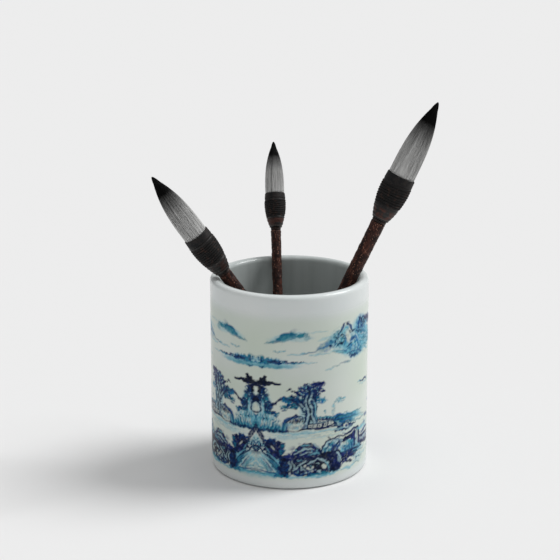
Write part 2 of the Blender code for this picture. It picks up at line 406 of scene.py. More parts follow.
def lacquer_material(name, dark, warm, rough_low, rough_high, specular):
    """Lacquer in two tones, with fine light scuffs that are partly painted highlights."""
    material, tree, shader = new_material(name)
    place = local_coordinates(tree)
    patches = noise(tree, place, 260.0, 4.0, 0.6, 0.4)
    tone = mix_colour(tree, remap(tree, patches, 0.42, 0.62), warm, dark)
    # Light grey scuffs: partly scuffed lacquer, partly painted highlight.
    scuff_and_highlight_noise = noise(tree, local_coordinates(tree, (1.0, 1.0, 3.0)), 650.0, 4.0, 0.65)
    scuff_and_highlight = remap(tree, scuff_and_highlight_noise, 0.62, 0.74, 0.0, 0.35)
    tone = mix_colour(tree, scuff_and_highlight, tone, (0.085, 0.080, 0.078))
    rough = remap(tree, patches, 0.3, 0.7, rough_low, rough_high)
    normal = bump(tree, scuff_and_highlight_noise, 0.3, 0.00012)
    finish_material(tree, shader, tone, rough, normal, Specular_IOR_Level=specular)
    return material


def cord_material():
    """Waxed black cord: dark plies with dusty fibres."""
    material, tree, shader = new_material("waxed_cord")
    place = local_coordinates(tree)
    fibres = noise(tree, place, 2600.0, 4.0, 0.7)
    dust = noise(tree, place, 420.0, 4.0, 0.6)
    tone = mix_colour(tree, remap(tree, fibres, 0.35, 0.7), (0.005, 0.005, 0.005),
                      (0.014, 0.013, 0.013))
    tone = mix_colour(tree, remap(tree, dust, 0.53, 0.66, 0.0, 0.8), tone,
                      (0.046, 0.025, 0.019))
    rough = remap(tree, fibres, 0.3, 0.7, 0.6, 0.85)
    finish_material(tree, shader, tone, rough, bump(tree, fibres, 0.7, 0.00012),
                    Specular_IOR_Level=0.2)
    return material


def hair_material(name, root, middle, tip, tip_from, tip_to):
    """Fine hair: each strand keeps its own tone, and the tips are dark."""
    material, tree, shader = new_material(name)
    along = attribute(tree, "along")
    strand = attribute(tree, "strand")
    streak_place = local_coordinates(tree, (1.0, 1.0, 0.025))
    streaks = noise(tree, streak_place, 2400.0, 3.0, 0.6)
    locks = noise(tree, local_coordinates(tree, (1.0, 1.0, 0.05)), 480.0, 2.0)
    hair = mix_colour(tree, remap(tree, along, 0.0, 0.55), root, middle)
    shade = remap(tree, streaks, 0.35, 0.68, 0.0, 0.45)
    hair = mix_colour(tree, shade, hair, (0.13, 0.13, 0.128))
    lines = remap(tree, strand, 0.12, 0.32, 0.75, 0.0)
    hair = mix_colour(tree, lines, hair, (0.040, 0.038, 0.036))
    light = remap(tree, plus(tree, strand, locks), 1.05, 1.5, 0.0, 0.4)
    hair = mix_colour(tree, light, hair, (0.74, 0.74, 0.73))
    edge = plus(tree, along, times(tree, streaks, 0.10))
    dark = remap(tree, edge, tip_from, tip_to)
    hair = mix_colour(tree, dark, hair, tip)
    rough = remap(tree, streaks, 0.3, 0.7, 0.5, 0.68)
    normal = bump(tree, streaks, 0.2, 0.0001)
    finish_material(tree, shader, hair, rough, normal, Specular_IOR_Level=0.08)
    return material


def two_tone_material(name, stretch, texture, blend, tones, roughness, relief):
    """Two tones of one noise, which also gives the roughness and the relief."""
    material, tree, shader = new_material(name)
    value = noise(tree, local_coordinates(tree, stretch), *texture)
    tone = mix_colour(tree, remap(tree, value, *blend), *tones)
    rough = remap(tree, value, 0.3, 0.7, *roughness)
    finish_material(tree, shader, tone, rough, bump(tree, value, *relief))
    return material


# ---------------------------------------------------------------- painting

# The wall is painted on an unrolled sheet, in mm: s runs round the pot from the seam
# below the first tree, and z is the height. The sheet is mirrored at the seam.
SHEET_STEP = 0.3
STROKE_DRYNESS = 0.25      # how much of a stroke or patch the bristles leave thin
PATCH_DRYNESS = 0.2
BLACK = (0.003, 0.007, 0.024)
NAVY = (0.003, 0.012, 0.070)
VIOLET = (0.012, 0.026, 0.165)
BLUE = (0.006, 0.060, 0.210)
COBALT = (0.008, 0.150, 0.390)
TEAL = (0.018, 0.215, 0.300)
SKY = (0.185, 0.500, 0.610)
MIST = (0.430, 0.620, 0.640)
IVORY = (0.620, 0.680, 0.600)
DARK = (NAVY, NAVY, BLACK)
DEEP = (NAVY, VIOLET, NAVY)
MIXED = (NAVY, BLUE, TEAL)
COOL = (TEAL, COBALT, BLUE)
PALE = (SKY, TEAL, MIST)


def as_points(flat):
    """(n, 2) points from a flat list of s, z, s, z ..."""
    return np.reshape(np.array(flat, float), (-1, 2))


class Sheet:
    """An unrolled sheet: ink colour and coverage, built up by overlapping strokes."""

    def __init__(self, length, height):
        self.rng = np.random.default_rng(SEED)
        self.s_axis = np.arange(0.0, length, SHEET_STEP)
        self.z_axis = np.arange(0.0, height, SHEET_STEP)
        self.s, self.z = np.meshgrid(self.s_axis, self.z_axis)
        # outlines waver by two sizes of noise
        drift = [lattice_noise(self.rng, self.s / cell, self.z / cell) - 0.5
                 for cell in (1.5, 1.5, 3.6, 3.6)]
        self.wobble_s = self.s + 0.9 * drift[0] + 1.2 * drift[2]
        self.wobble_z = self.z + 0.9 * drift[1] + 1.0 * drift[3]
        self.bristle = lattice_noise(self.rng, self.s / 0.7, self.z / 0.7)
        self.ink = np.ones(self.s.shape + (3,)) * np.array(IVORY)
        self.cover = np.zeros(self.s.shape)
        # the wash under the painting fades out above and below the band
        cloud = lattice_noise(self.rng, self.s / 26, self.z / 16)
        self.tint = (0.35 + 0.6 * cloud) * smoothstep(115, 107, self.z) * smoothstep(4, 9, self.z)

    def window(self, low_s, high_s, low_z, high_z):
        """Slices of the sheet round a box, in mm."""
        j = np.searchsorted(self.z_axis, (low_z, high_z))
        i = np.searchsorted(self.s_axis, (low_s, high_s))
        return slice(j[0], j[1]), slice(i[0], i[1])

    def around(self, points, reach):
        low, high = np.min(points, axis=0) - reach, np.max(points, axis=0) + reach
        return self.window(low[0], high[0], low[1], high[1])

    def gaps(self, part, dryness):
        return dryness * smoothstep(0.45, 0.8, self.bristle[part])

    def lay(self, part, alpha, ink):
        """Lays ink over what is there."""
        under = self.cover[part] * (1.0 - alpha)
        total = under + alpha
        mixed = self.ink[part] * under[..., None] + np.array(ink) * alpha[..., None]
        self.ink[part] = mixed / np.maximum(total, 1e-6)[..., None]
        self.cover[part] = total

    def stroke(self, points, width, ink, strength, taper=0.3):
        """A brush line through a flat list of points; its ends narrow to taper times its
        width, and the bristles leave it thin in places."""
        points = as_points(points)
        part = self.around(points, width + 2.0)
        s, z = self.wobble_s[part], self.wobble_z[part]
        steps = np.hypot(*np.diff(points, axis=0).T)
        total = max(steps.sum(), 1e-6)
        done, alpha = 0.0, np.zeros(s.shape)
        for a, b, step in zip(points[:-1], points[1:], steps):
            run = b - a
            along = ((s - a[0]) * run[0] + (z - a[1]) * run[1]) / max(step, 1e-6) ** 2
            along = np.clip(along, 0.0, 1.0)
            away = np.hypot(s - a[0] - along * run[0], z - a[1] - along * run[1])
            place = np.clip((done + along * step) / total, 0.02, 0.98)
            half = 0.5 * width * (taper + (1.0 - taper) * np.sin(math.pi * place) ** 0.6)
            alpha = np.maximum(alpha, smoothstep(0.3, -0.3, away - half))
            done += step
        alpha = alpha * strength * (1.0 - self.gaps(part, STROKE_DRYNESS))
        self.lay(part, alpha, ink)

    def oval(self, s, z, half_s, half_z, turn, soft):
        """A window and a soft oval mask in it, with the oval's own coordinates in mm."""
        reach = max(half_s, half_z) * 1.4 + 1.0
        part = self.window(s - reach, s + reach, z - reach, z + reach)
        cosine, sine = math.cos(math.radians(turn)), math.sin(math.radians(turn))
        x, y = self.wobble_s[part] - s, self.wobble_z[part] - z
        u, v = x * cosine + y * sine, y * cosine - x * sine
        mask = smoothstep(1.0 + soft / 2, 1.0 - soft / 2, np.hypot(u / half_s, v / half_z))
        return part, mask, u, v

    def wash(self, s, z, half_s, half_z, ink, strength, turn=0.0, soft=0.6):
        """A soft-edged oval of ink, turned by an angle in degrees."""
        part, mask, _, _ = self.oval(s, z, half_s, half_z, turn, soft)
        self.lay(part, strength * mask, ink)

    def mottle(self, s, z, half_s, half_z, ink, strength, share, cell=1.5, stretch=1.8, turn=0.0,
               soft=0.7):
        """Broken brushwork in an oval: ink covers about this share of it, in flecks."""
        part, mask, u, v = self.oval(s, z, half_s, half_z, turn, soft)
        if mask.size == 0:
            return
        fleck = lattice_noise(self.rng, u / (cell * stretch), v / cell)
        edge = 1.0 - share
        self.lay(part, strength * mask * smoothstep(edge - 0.10, edge + 0.10, fleck), ink)

    def dabs(self, s, z, half_s, half_z, count, size, inks, strength=0.9, stretch=1.6):
        """Many small dabs inside an oval, thinning out towards its edge."""
        for _ in range(count):
            angle = self.rng.uniform(0, math.tau)
            away = self.rng.uniform(0, 1) ** 0.6
            ink = inks[self.rng.integers(len(inks))]
            big = size * self.rng.uniform(0.55, 1.25)
            self.wash(s + half_s * away * math.cos(angle), z + half_z * away * math.sin(angle),
                      big * stretch / 2, big / 2, ink, strength * self.rng.uniform(0.6, 1.0),
                      self.rng.uniform(-35, 35), 0.5)

    def hatch(self, start, end, count, stroke, width, inks, strength):
        """Short parallel strokes, each offset by stroke, spaced from start to end."""
        for i in range(count):
            share = i / max(count - 1, 1)
            s = start[0] + (end[0] - start[0]) * share + self.rng.uniform(-0.3, 0.3)
            z = start[1] + (end[1] - start[1]) * share + self.rng.uniform(-0.3, 0.3)
            scale = self.rng.uniform(0.75, 1.2)
            self.stroke([s, z, s + stroke[0] * scale, z + stroke[1] * scale], width,
                        inks[i % len(inks)], strength, 0.2)

    def patch(self, points, ink, strength):
        """Fills the outline through a flat list of points."""
        points = as_points(points)
        part = self.around(points, 1.5)
        s, z = self.wobble_s[part], self.wobble_z[part]
        inside = np.zeros(s.shape, bool)
        for a, b in zip(points, np.roll(points, -1, axis=0)):
            if a[1] == b[1]:
                continue
            crossing = a[0] + (z - a[1]) * (b[0] - a[0]) / (b[1] - a[1])
            inside ^= ((a[1] > z) != (b[1] > z)) & (s < crossing)
        alpha = inside * strength * (1.0 - self.gaps(part, PATCH_DRYNESS))
        self.lay(part, alpha, ink)


def paint_far_hills(sheet):
    sheet.wash(20, 99.6, 11, 2.4, SKY, 0.5, 12)
    sheet.wash(28, 98.4, 8, 1.8, MIST, 0.6)
    sheet.patch([4, 94.6, 8, 95.2, 10.4, 96.6, 13, 97.8, 15.4, 99.8, 18, 102, 20, 102.4,
                 22.4, 103.2, 24.4, 102, 26.4, 100.8, 28.4, 101.8, 30.4, 102.6, 32, 101, 34, 99.8,
                 30, 99.2, 26, 99.2, 22, 98, 18, 96.2, 13, 95.2], TEAL, 0.55)
    sheet.wash(20, 100.4, 5.5, 2, TEAL, 0.6, 25)
    sheet.mottle(19, 99.6, 8, 2.6, BLUE, 0.42, 0.5, 1.1, 2.2, 32)
    sheet.mottle(12, 96.6, 5, 1.1, TEAL, 0.7, 0.6, 0.9, 2.4, 20)
    sheet.mottle(27, 101, 5.5, 1.3, TEAL, 0.7, 0.5, 0.9, 2)
    sheet.stroke([20, 102.2, 23.4, 101.4, 25.6, 100.2], 1, BLUE, 0.5)
    sheet.wash(32, 98.4, 2.4, 1.4, TEAL, 0.35)
    sheet.dabs(16, 90.2, 4.5, 0.5, 16, 0.8, (SKY, TEAL), 0.6)
    sheet.stroke([20, 88, 28, 88.4, 36, 89.6], 1, SKY, 0.7)
    sheet.stroke([29, 88.4, 36, 89.3, 42, 91.2, 46, 93], 1, BLUE, 0.55)
    sheet.stroke([33, 87.4, 40, 87.8, 48, 87.6], 0.9, SKY, 0.6)
    sheet.wash(44, 92.6, 6.5, 2.6, TEAL, 0.45, 30)
    sheet.mottle(45, 92.4, 6.5, 3.2, COBALT, 0.55, 0.45, 1.1, 2.4, 25)
    sheet.wash(44, 97.4, 5, 0.9, SKY, 0.4, 8)
    sheet.stroke([34, 101.6, 40, 101.9, 46, 101.2], 0.8, SKY, 0.45)


def paint_island(sheet):
    """A wooded strip of land in mid water, below the far hills."""
    sheet.wash(7, 80.8, 19, 1.7, SKY, 0.75)
    sheet.wash(9, 80.2, 10, 1.1, TEAL, 0.45)
    sheet.wash(6, 84, 11, 1.9, SKY, 0.6)
    sheet.mottle(5, 84.2, 8, 2.6, TEAL, 0.8, 0.55, 0.8, 1.2)
    sheet.mottle(8, 83.6, 11, 2, COBALT, 0.8, 0.42, 0.8, 1.2)
    sheet.dabs(13.6, 83.4, 6.4, 1.3, 70, 0.95, (BLUE, NAVY, NAVY), 0.9, 1.3)
    sheet.dabs(4, 84.6, 4.6, 1.8, 44, 0.85, (BLUE, NAVY, TEAL), 0.85, 1.2)
    sheet.stroke([6, 81.9, 14, 82.2, 20, 82.6, 26, 82.8, 30.5, 82.6], 0.9, BLUE, 0.7)
    sheet.dabs(23.5, 83, 6.5, 0.6, 34, 0.8, (BLUE, NAVY, TEAL), 0.75)
    sheet.stroke([22, 82, 32, 82.5, 39, 82.2], 0.8, SKY, 0.7)
    sheet.dabs(2.6, 79.6, 3, 0.6, 9, 0.8, (BLUE, NAVY), 0.7)
    for s, z, ink in ((47, 77.2, SKY), (52, 78.4, TEAL), (58.5, 79.6, BLUE), (62, 79.3, TEAL)):
        sheet.stroke([s - 3.6, z - 0.3, s, z, s + 3.4, z + 0.1], 0.8, ink, 0.6)


def paint_crag(sheet, s, mirror=1):
    """A craggy mountain whose first peak stands at s, with its foot in the water."""

    def at(points):
        return as_points(points) * (mirror, 1) + (s, 0)

    def mottle(x, z, half_s, half_z, ink, strength, share, cell=1.0, stretch=1.7, turn=0.0):
        sheet.mottle(s + mirror * x, z, half_s, half_z, ink, strength, share, cell, stretch, mirror
                     * turn)

    sheet.wash(s - mirror * 5, 95, 8, 6, SKY, 0.65)
    sheet.wash(s + mirror * 15, 98, 10, 7.5, SKY, 0.75, -10 * mirror)
    sheet.wash(s + mirror * 27, 100.6, 12, 3, VIOLET, 0.8, -5 * mirror)
    sheet.wash(s + mirror * 9, 88, 13, 7, SKY, 0.85, -8 * mirror)
    sheet.wash(s + mirror * 24, 90, 10, 6, SKY, 0.7, -14 * mirror)
    mottle(-5.5, 96, 7.6, 6, TEAL, 0.7, 0.42, 1, 1.4, 35)
    mottle(-5.5, 95.5, 7.6, 6, BLUE, 0.8, 0.24, 0.9, 1.3, 35)
    mottle(9, 89.4, 8.6, 6.4, COBALT, 0.85, 0.6, 1.2, 1.8, -35)
    mottle(9, 89, 9, 6.4, TEAL, 0.85, 0.5, 1, 1.8, -30)
    mottle(8, 90, 7.5, 5, BLUE, 0.8, 0.24, 0.9, 1.8, -30)
    mottle(10, 89, 8, 5.5, MIST, 0.75, 0.26, 0.9, 1.6, -30)
    mottle(16, 98.6, 7.4, 6.4, COBALT, 0.9, 0.55, 1, 1.7, -50)
    mottle(16, 99.6, 6.4, 5, BLUE, 0.9, 0.5, 0.9, 1.7, -50)
    mottle(18, 101.6, 5, 3, NAVY, 0.8, 0.4, 0.9, 1.7, -30)
    mottle(27, 100.4, 10, 2.8, NAVY, 0.85, 0.45, 1.2, 3, -12)
    mottle(23, 88, 11, 6.5, TEAL, 0.8, 0.5, 1, 4.5, -18)
    mottle(24, 93, 10, 5, BLUE, 0.7, 0.3, 1, 4, -20)
    mottle(26, 96, 9, 4, SKY, 0.85, 0.5, 1, 4, -20)
    mottle(7, 83, 8, 2.2, BLUE, 0.8, 0.5, 0.8, 2.2, -8)
    sheet.wash(s + mirror * 1.6, 95.6, 2.6, 4, IVORY, 0.95, 10)
    sheet.wash(s + mirror * 5.4, 96.2, 2.8, 1.3, MIST, 0.8, -20 * mirror)
    for line, width, ink in (
            ((-3.6, 98.6, -1.6, 101.4, 0.2, 102.4, 1.4, 100.6), 1.6, SKY),
            ((-1.4, 103, 0.6, 103.4, 1.8, 101.2), 0.8, MIST),
            ((-4.8, 100.4, -3.2, 102.8, -1.2, 104.6), 1.3, BLUE),
            ((-3.4, 103.2, -2.2, 104.6), 1, NAVY), ((0.6, 104.8, 2.2, 102.8), 1.6, NAVY),
            ((2, 103.4, 3.4, 100.8, 4.2, 99), 2, BLUE),
            ((3.8, 100, 5.4, 98.2, 8.4, 98), 1.7, NAVY), ((1.8, 105.2, 3, 104.6), 0.9, BLUE),
            ((-4.8, 100.8, -3.8, 99.8), 1.2, BLACK),
            ((-4.6, 97.8, -3, 97, -3.2, 95.6), 1.5, BLACK), ((-9, 96.4, -7.2, 95.2), 1.3, NAVY),
            ((-5.6, 92.8, -3.8, 92, -2.8, 93.4), 1.6, BLACK),
            ((-13.4, 92, -11.4, 91.4), 1.2, NAVY), ((-10, 94, -8.8, 92.4), 1.1, BLUE),
            ((-7.4, 99, -6.2, 97.6), 1.1, NAVY), ((-1.6, 97.4, -0.6, 94.4, -1.8, 91), 1, COBALT),
            ((2.2, 99.2, 4.2, 97.4), 0.8, NAVY), ((0.6, 89.2, 3.4, 90.4, 6, 90.8), 1.2, NAVY),
            ((4, 92.4, 7, 93.6, 9.4, 92), 1.3, BLUE),
            ((-3.6, 87.4, -0.6, 86.6, 2, 87.6), 1.1, BLUE),
            ((9, 97, 12, 95.8, 15, 96.2), 1.2, NAVY),
            ((12.4, 103, 14, 104.8, 16, 104.2), 1.2, NAVY),
            ((15.6, 103.4, 18.4, 101, 19.6, 97), 1.3, NAVY),
            ((18, 102.8, 24, 101.4, 31, 100.2), 1.6, NAVY),
            ((12.4, 102.4, 11.4, 100.4), 1.1, BLUE),
            ((2.6, 84.4, 5.4, 82.4, 9.6, 81.8), 1.3, NAVY),
            ((9, 86.8, 13, 84, 17, 81.8), 1.2, BLUE),
            ((7.6, 95.6, 10.6, 93.4, 12.4, 90), 1.1, MIST),
            ((11, 91, 15, 87.6, 19, 84.6), 1.2, SKY)):
        sheet.stroke(at(line), width, ink, 0.9)
    sheet.dabs(s - mirror * 5, 95.5, 5, 4.8, 36, 0.95, DARK, 0.85, 1.3)
    sheet.dabs(s - mirror * 5, 97, 5, 4.6, 26, 0.9, (MIST, SKY), 0.8, 1.3)
    sheet.dabs(s + mirror * 9, 89, 8, 5.5, 44, 1, (SKY, COBALT, MIST), 0.7)
    sheet.dabs(s + mirror * 16, 99.6, 5.4, 4, 34, 0.95, (NAVY, SKY, NAVY), 0.85, 1.3)
    for i in range(10):
        x, z = 16 + 0.9 * i, 96.5 - 1.6 * i
        sheet.stroke(at([x - 6, z + 1.6, x, z, x + 8, z - 2.6]), 0.8, PALE[i % 3], 0.75)
    for i in range(5):
        x, z = -13 + 2.2 * i, 88.8 - 0.8 * i
        sheet.stroke(at([x, z, x + 8, z - 0.8]), 0.9, (SKY, TEAL)[i % 2], 0.7)


def paint_clump(sheet, s, z, half_s, half_z, inks, strength, share):
    """Massed leaves: a broken dark body with a ragged rim of dabs."""
    sheet.mottle(s, z, half_s, half_z, inks[0], strength, share, 0.9, 1.3, 0, 0.5)
    sheet.mottle(s, z, half_s * 1.1, half_z * 1.1, inks[1], strength, share * 0.8, 0.8, 1.3)
    count = int(4 + 2.6 * half_s * half_z)
    sheet.dabs(s, z, half_s * 1.2, half_z * 1.2, count, 1, inks, strength)


def paint_first_tree(sheet):
    """The tall tree at the seam; its mirror image completes it."""
    sheet.wash(5, 55, 5, 9, SKY, 0.45)
    for s, z, half_s, half_z in (
            (6.2, 73.2, 1.1, 1), (4.8, 71.6, 2.2, 1), (4.2, 69.8, 3.4, 1.2),
            (10.2, 69.7, 2.3, 1.1), (13.4, 69, 2.2, 1), (0.6, 68.2, 2, 1.1), (7.6, 68.4, 2, 0.9),
            (3.6, 66.2, 1.9, 1.6), (3.4, 63.8, 1.9, 1.5), (1.6, 58.8, 3.2, 1.3)):
        sheet.wash(s, z, half_s * 0.85, half_z * 0.85, BLACK, 0.9, 0, 0.5)
        paint_clump(sheet, s, z, half_s, half_z, (BLACK, BLACK, NAVY), 0.97, 0.75)
    paint_clump(sheet, 5.6, 62.2, 2.4, 4.4, (NAVY, BLUE, BLACK), 0.9, 0.55)
    paint_clump(sheet, 6.6, 57.2, 2.2, 4, (NAVY, TEAL, BLUE), 0.85, 0.5)
    paint_clump(sheet, 8.6, 54.6, 2, 3.2, (NAVY, BLUE, NAVY), 0.9, 0.6)
    for line, width, ink in (
            ((2.4, 61, 3.6, 57.6, 3.4, 54, 2.6, 51), 1.2, BLUE),
            ((4.4, 60, 4.6, 55, 4.4, 50, 4.8, 45), 0.8, SKY),
            ((5.8, 60, 6, 55, 5.6, 50, 6.4, 44), 1, NAVY),
            ((1.2, 50.6, 0.8, 46, 1.4, 41.5), 0.8, TEAL), ((2.8, 51, 2.4, 46, 2.6, 41), 1, SKY),
            ((3.6, 50, 4.6, 45, 5.2, 40), 1, COBALT), ((7.4, 50, 8, 45, 9.2, 41), 0.9, TEAL),
            ((9.8, 55.4, 11.4, 55.8, 13.2, 57.4), 2.1, NAVY),
            ((12.4, 56.6, 15, 59.4, 18.4, 60.8, 21, 60.2), 1.6, NAVY),
            ((15.6, 60.6, 18, 61.4, 20, 61.2), 1.2, BLUE),
            ((6, 51.2, 10, 50.8, 14.6, 51), 1.5, NAVY)):
        sheet.stroke(line, width, ink, 0.92)
    sheet.wash(0, 53.4, 2.3, 2.7, IVORY, 0.9, 0, 0.4)
    sheet.stroke([0, 57.2, 2.2, 56.6, 3.4, 54.6, 3.2, 52, 1.8, 50.2, 0, 49.8], 1.2, NAVY, 0.92,
                  0.7)
    sheet.stroke([0, 60.4, 2.8, 61.2, 5.4, 59.6], 1.7, NAVY, 0.92)
    sheet.stroke([3.6, 57.4, 4.2, 53.6, 3.6, 49.6, 4.6, 45], 0.9, MIST, 0.85)
    sheet.hatch((0.4, 49), (7, 48.6), 6, (0.3, -6.4), 0.8, (BLUE, SKY, NAVY), 0.85)
    sheet.dabs(9.6, 50.9, 5, 0.9, 22, 1.1, (NAVY, BLUE, TEAL), 0.9)
    sheet.dabs(12.4, 49.2, 2.4, 0.9, 14, 1, (TEAL, BLUE), 0.7)
    paint_clump(sheet, 20, 59.4, 3.6, 1.9, COOL, 0.85, 0.55)
    paint_clump(sheet, 23, 57, 3.6, 2.8, (TEAL, NAVY, COBALT), 0.8, 0.5)
    paint_clump(sheet, 18.4, 54.2, 2, 1.9, (TEAL, NAVY, BLUE), 0.8, 0.55)
    paint_clump(sheet, 24.6, 60.6, 3.2, 1.8, MIXED, 0.85, 0.5)
    sheet.mottle(7, 45, 7, 4.6, SKY, 0.7, 0.5, 1, 0.45)
    sheet.mottle(8, 44.6, 7.5, 4.8, TEAL, 0.75, 0.42, 0.9, 0.4)
    sheet.mottle(8, 42, 8, 2.8, BLUE, 0.7, 0.4, 0.9, 0.4)


def paint_second_tree(sheet, s, size=1.0):
    """A broad old tree with a twisted trunk whose foot stands at s."""

    def at(points):
        return (as_points(points) - (0, 40)) * size + (s, 40)

    def clump(x, z, half_s, half_z, inks=DEEP, strength=0.92, share=0.55):
        paint_clump(sheet, s + size * x, 40 + size * (z - 40), half_s * size, half_z * size, inks,
                    strength, share)

    sheet.wash(s - size * 1, 40 + size * 13, 5.5 * size, 13 * size, SKY, 0.5)
    for x, z, half_s, half_z in (
            (-3.6, 67, 2.8, 2.4), (0, 65.4, 2.6, 2.2), (4.4, 68, 3.6, 2), (7.6, 68, 2.6, 1.5),
            (4.4, 65.6, 2.6, 1.6), (-5.4, 63.6, 3, 2), (-1.6, 62.2, 3.4, 2), (3.4, 62.4, 3.2, 1.9),
            (8.6, 63.8, 1.7, 0.9), (6.6, 65.6, 1.5, 0.9)):
        clump(x, z, half_s, half_z)
    sheet.dabs(s + size, 40 + size * 25, 8 * size, 4 * size, 34, 0.8, (MIST, SKY), 0.85, 1.2)
    sheet.dabs(s + size, 40 + size * 25, 8.6 * size, 4.4 * size, 40, 0.9, (NAVY, BLUE), 0.9, 1.3)
    clump(-12.8, 65.6, 1.2, 0.5, DARK, 0.8)
    clump(-9.8, 64.4, 1.7, 0.8, DARK, 0.9)
    clump(7, 57.6, 3.6, 1.7, (TEAL, COBALT, SKY), 0.8, 0.5)
    clump(3.6, 59.6, 2.6, 1.6, MIXED, 0.85)
    clump(-7.5, 58.4, 3.4, 2.6, (BLUE, NAVY, TEAL), 0.85, 0.5)
    clump(-10, 55.4, 2.8, 2.2, (TEAL, NAVY, BLUE), 0.7, 0.45)
    sheet.patch(at([-4.4, 39.6, -3.6, 46, -2.6, 51, -4.2, 57, -4, 63, 3.4, 64, 2.6, 57, 2.4, 52,
                5.4, 47, 6.4, 41, 3, 40, 1.2, 47, -0.4, 47, -1.2, 39.8]), BLUE, 0.75)
    for trunk, width, ink in (
            ((-4.2, 39.8, -3.4, 44, -2.4, 48, -2.8, 52, -4.2, 56, -3.4, 62), 1.4, NAVY),
            ((-2.6, 40.4, -1.8, 44, -1, 48, -1.8, 53, -3, 57, -1.8, 62), 0.9, MIST),
            ((-1, 40, -0.4, 44, 0.2, 48, -0.6, 52, -1.6, 57, -0.4, 64), 1.3, BLACK),
            ((4.6, 41, 3.2, 45, 1, 49, 0.6, 53, -0.4, 57, 1, 63), 1, MIST),
            ((3.2, 40.4, 2, 44, 0.4, 48.6), 1.3, BLACK),
            ((6, 40.8, 5, 45, 2.6, 49.4, 2.2, 53, 1.2, 58, 2.8, 64), 1.4, NAVY),
            ((5.2, 44.6, 3.4, 48.4, 3.6, 52, 2.2, 57), 0.8, SKY),
            ((4.4, 50, 4.4, 54, 3, 59, 4.4, 64), 1.2, NAVY),
            ((-4.8, 52, -5.6, 57, -4.6, 62), 1, NAVY)):
        sheet.stroke(at(trunk), width * size, ink, 0.95, 0.6)
    for i in range(13):
        z = 41.5 + 1.6 * i
        lean = -0.8 * math.sin(0.45 * i) + (2.6 - 0.32 * i if i < 6 else 0.6)
        ink = (NAVY, MIST, BLACK)[i % 3]
        sheet.stroke(at([-5.6 + lean, z, -4.4 + lean, z + 0.9, -3.4 + lean, z - 0.1]), 0.6, ink,
                     0.85)
        sheet.stroke(at([-1.6 + lean, z + 1, -0.2 + lean, z + 1.6, 1 + lean, z + 0.5]), 0.6, ink,
                     0.85)
    sheet.stroke(at([-3.6, 51, -6, 54, -8.4, 57, -11, 59.4, -15, 60.6]), 1.5, NAVY, 0.9)
    sheet.stroke(at([-3.6, 54, -6.6, 58.6, -8.6, 61.4]), 1.3, NAVY, 0.9)
    sheet.stroke(at([-4.6, 54, -7.2, 57]), 0.8, MIST, 0.8)


def paint_hut(sheet):
    """A thatched hut between the trees, and the hedge in front of it."""
    sheet.wash(24, 42.6, 6, 3.6, IVORY, 0.8)
    sheet.mottle(24, 42.4, 5.8, 2.8, SKY, 0.6, 0.4, 0.8, 1.2)
    sheet.stroke([17, 39.6, 17.4, 43, 19, 46, 21.4, 47.8, 24, 48.4, 27.6, 48.4], 1.7, BLUE, 0.92,
                  0.6)
    sheet.stroke([18, 41, 19.4, 45, 21.6, 47], 1, NAVY, 0.92)
    sheet.stroke([22, 48, 25, 49, 29, 48.2], 1, NAVY, 0.9)
    sheet.hatch((21.4, 43.8), (29, 44.4), 9, (0.9, 3.2), 0.9, DARK, 0.92)
    sheet.dabs(28.6, 42.6, 1.4, 2.8, 12, 0.8, (BLUE, TEAL), 0.85, 0.6)
    sheet.hatch((20.4, 46.4), (28, 46.8), 8, (1.4, 0.8), 0.7, MIXED, 0.85)
    sheet.hatch((19.4, 40.6), (29.4, 40.8), 12, (0.2, 1.8), 0.5, (TEAL, BLUE), 0.7)
    sheet.wash(9, 40.6, 10, 2.6, TEAL, 0.75)
    sheet.hatch((1.5, 38.4), (19, 37.9), 24, (0.4, 5.4), 0.8, (TEAL, SKY, BLUE), 0.8)
    sheet.dabs(9.6, 44.6, 8.6, 3.4, 40, 0.85, (TEAL, BLUE, NAVY), 0.85, 0.6)
    sheet.hatch((3.4, 41.8), (16, 42), 9, (0.3, 3.6), 0.9, (IVORY, MIST), 0.85)
    sheet.hatch((2, 37.6), (20, 37.9), 22, (-0.4, 2.2), 0.9, (NAVY, TEAL, BLUE), 0.9)
    sheet.mottle(10.5, 38.8, 9.6, 1.3, NAVY, 0.9, 0.55, 0.9, 0.8)
    sheet.stroke([18, 38.6, 26, 39.3, 34, 39.6, 44, 39.2, 53, 38.8], 1, NAVY, 0.9)
    sheet.stroke([26, 39.4, 30, 39.6, 34, 39.8], 1.4, BLACK, 0.9)


def paint_house(sheet, s):
    """A low house at the water's edge: sloping roof, white wall, small windows."""
    sheet.stroke([s - 6, 46.8, s, 46.6, s + 7, 45.6], 1.2, TEAL, 0.9)
    sheet.stroke([s - 6, 45.4, s, 45.2, s + 8, 44.2], 1.7, NAVY, 0.95)
    sheet.hatch((s - 5, 45.4), (s + 7, 44.4), 15, (0.5, 1.5), 0.5, (NAVY, BLUE, SKY), 0.85)
    sheet.patch([s - 10.8, 40, s - 10.4, 43.4, s - 2, 44.2, s + 7.2, 43.6, s + 7, 39.8], NAVY,
                 0.95)
    sheet.stroke([s - 10, 43.2, s - 4, 43.6, s + 6, 43.2], 0.5, MIST, 0.9)
    for x, half in ((-9.6, 1.1), (-6.6, 1.2), (-3.2, 1.3), (0.2, 1), (4.2, 2.2)):
        sheet.patch([s + x - half, 40.7, s + x - half, 42.7, s + x + half, 42.6, s + x +
                     half, 40.6], IVORY, 0.95)
    for x in (-9.6, -3.4, 0.2, 4.2):
        sheet.wash(s + x, 41.6, 0.55, 0.5, NAVY, 0.9)
    sheet.stroke([s - 10, 39.8, s, 39.8, s + 7, 39.4], 0.8, NAVY, 0.9)


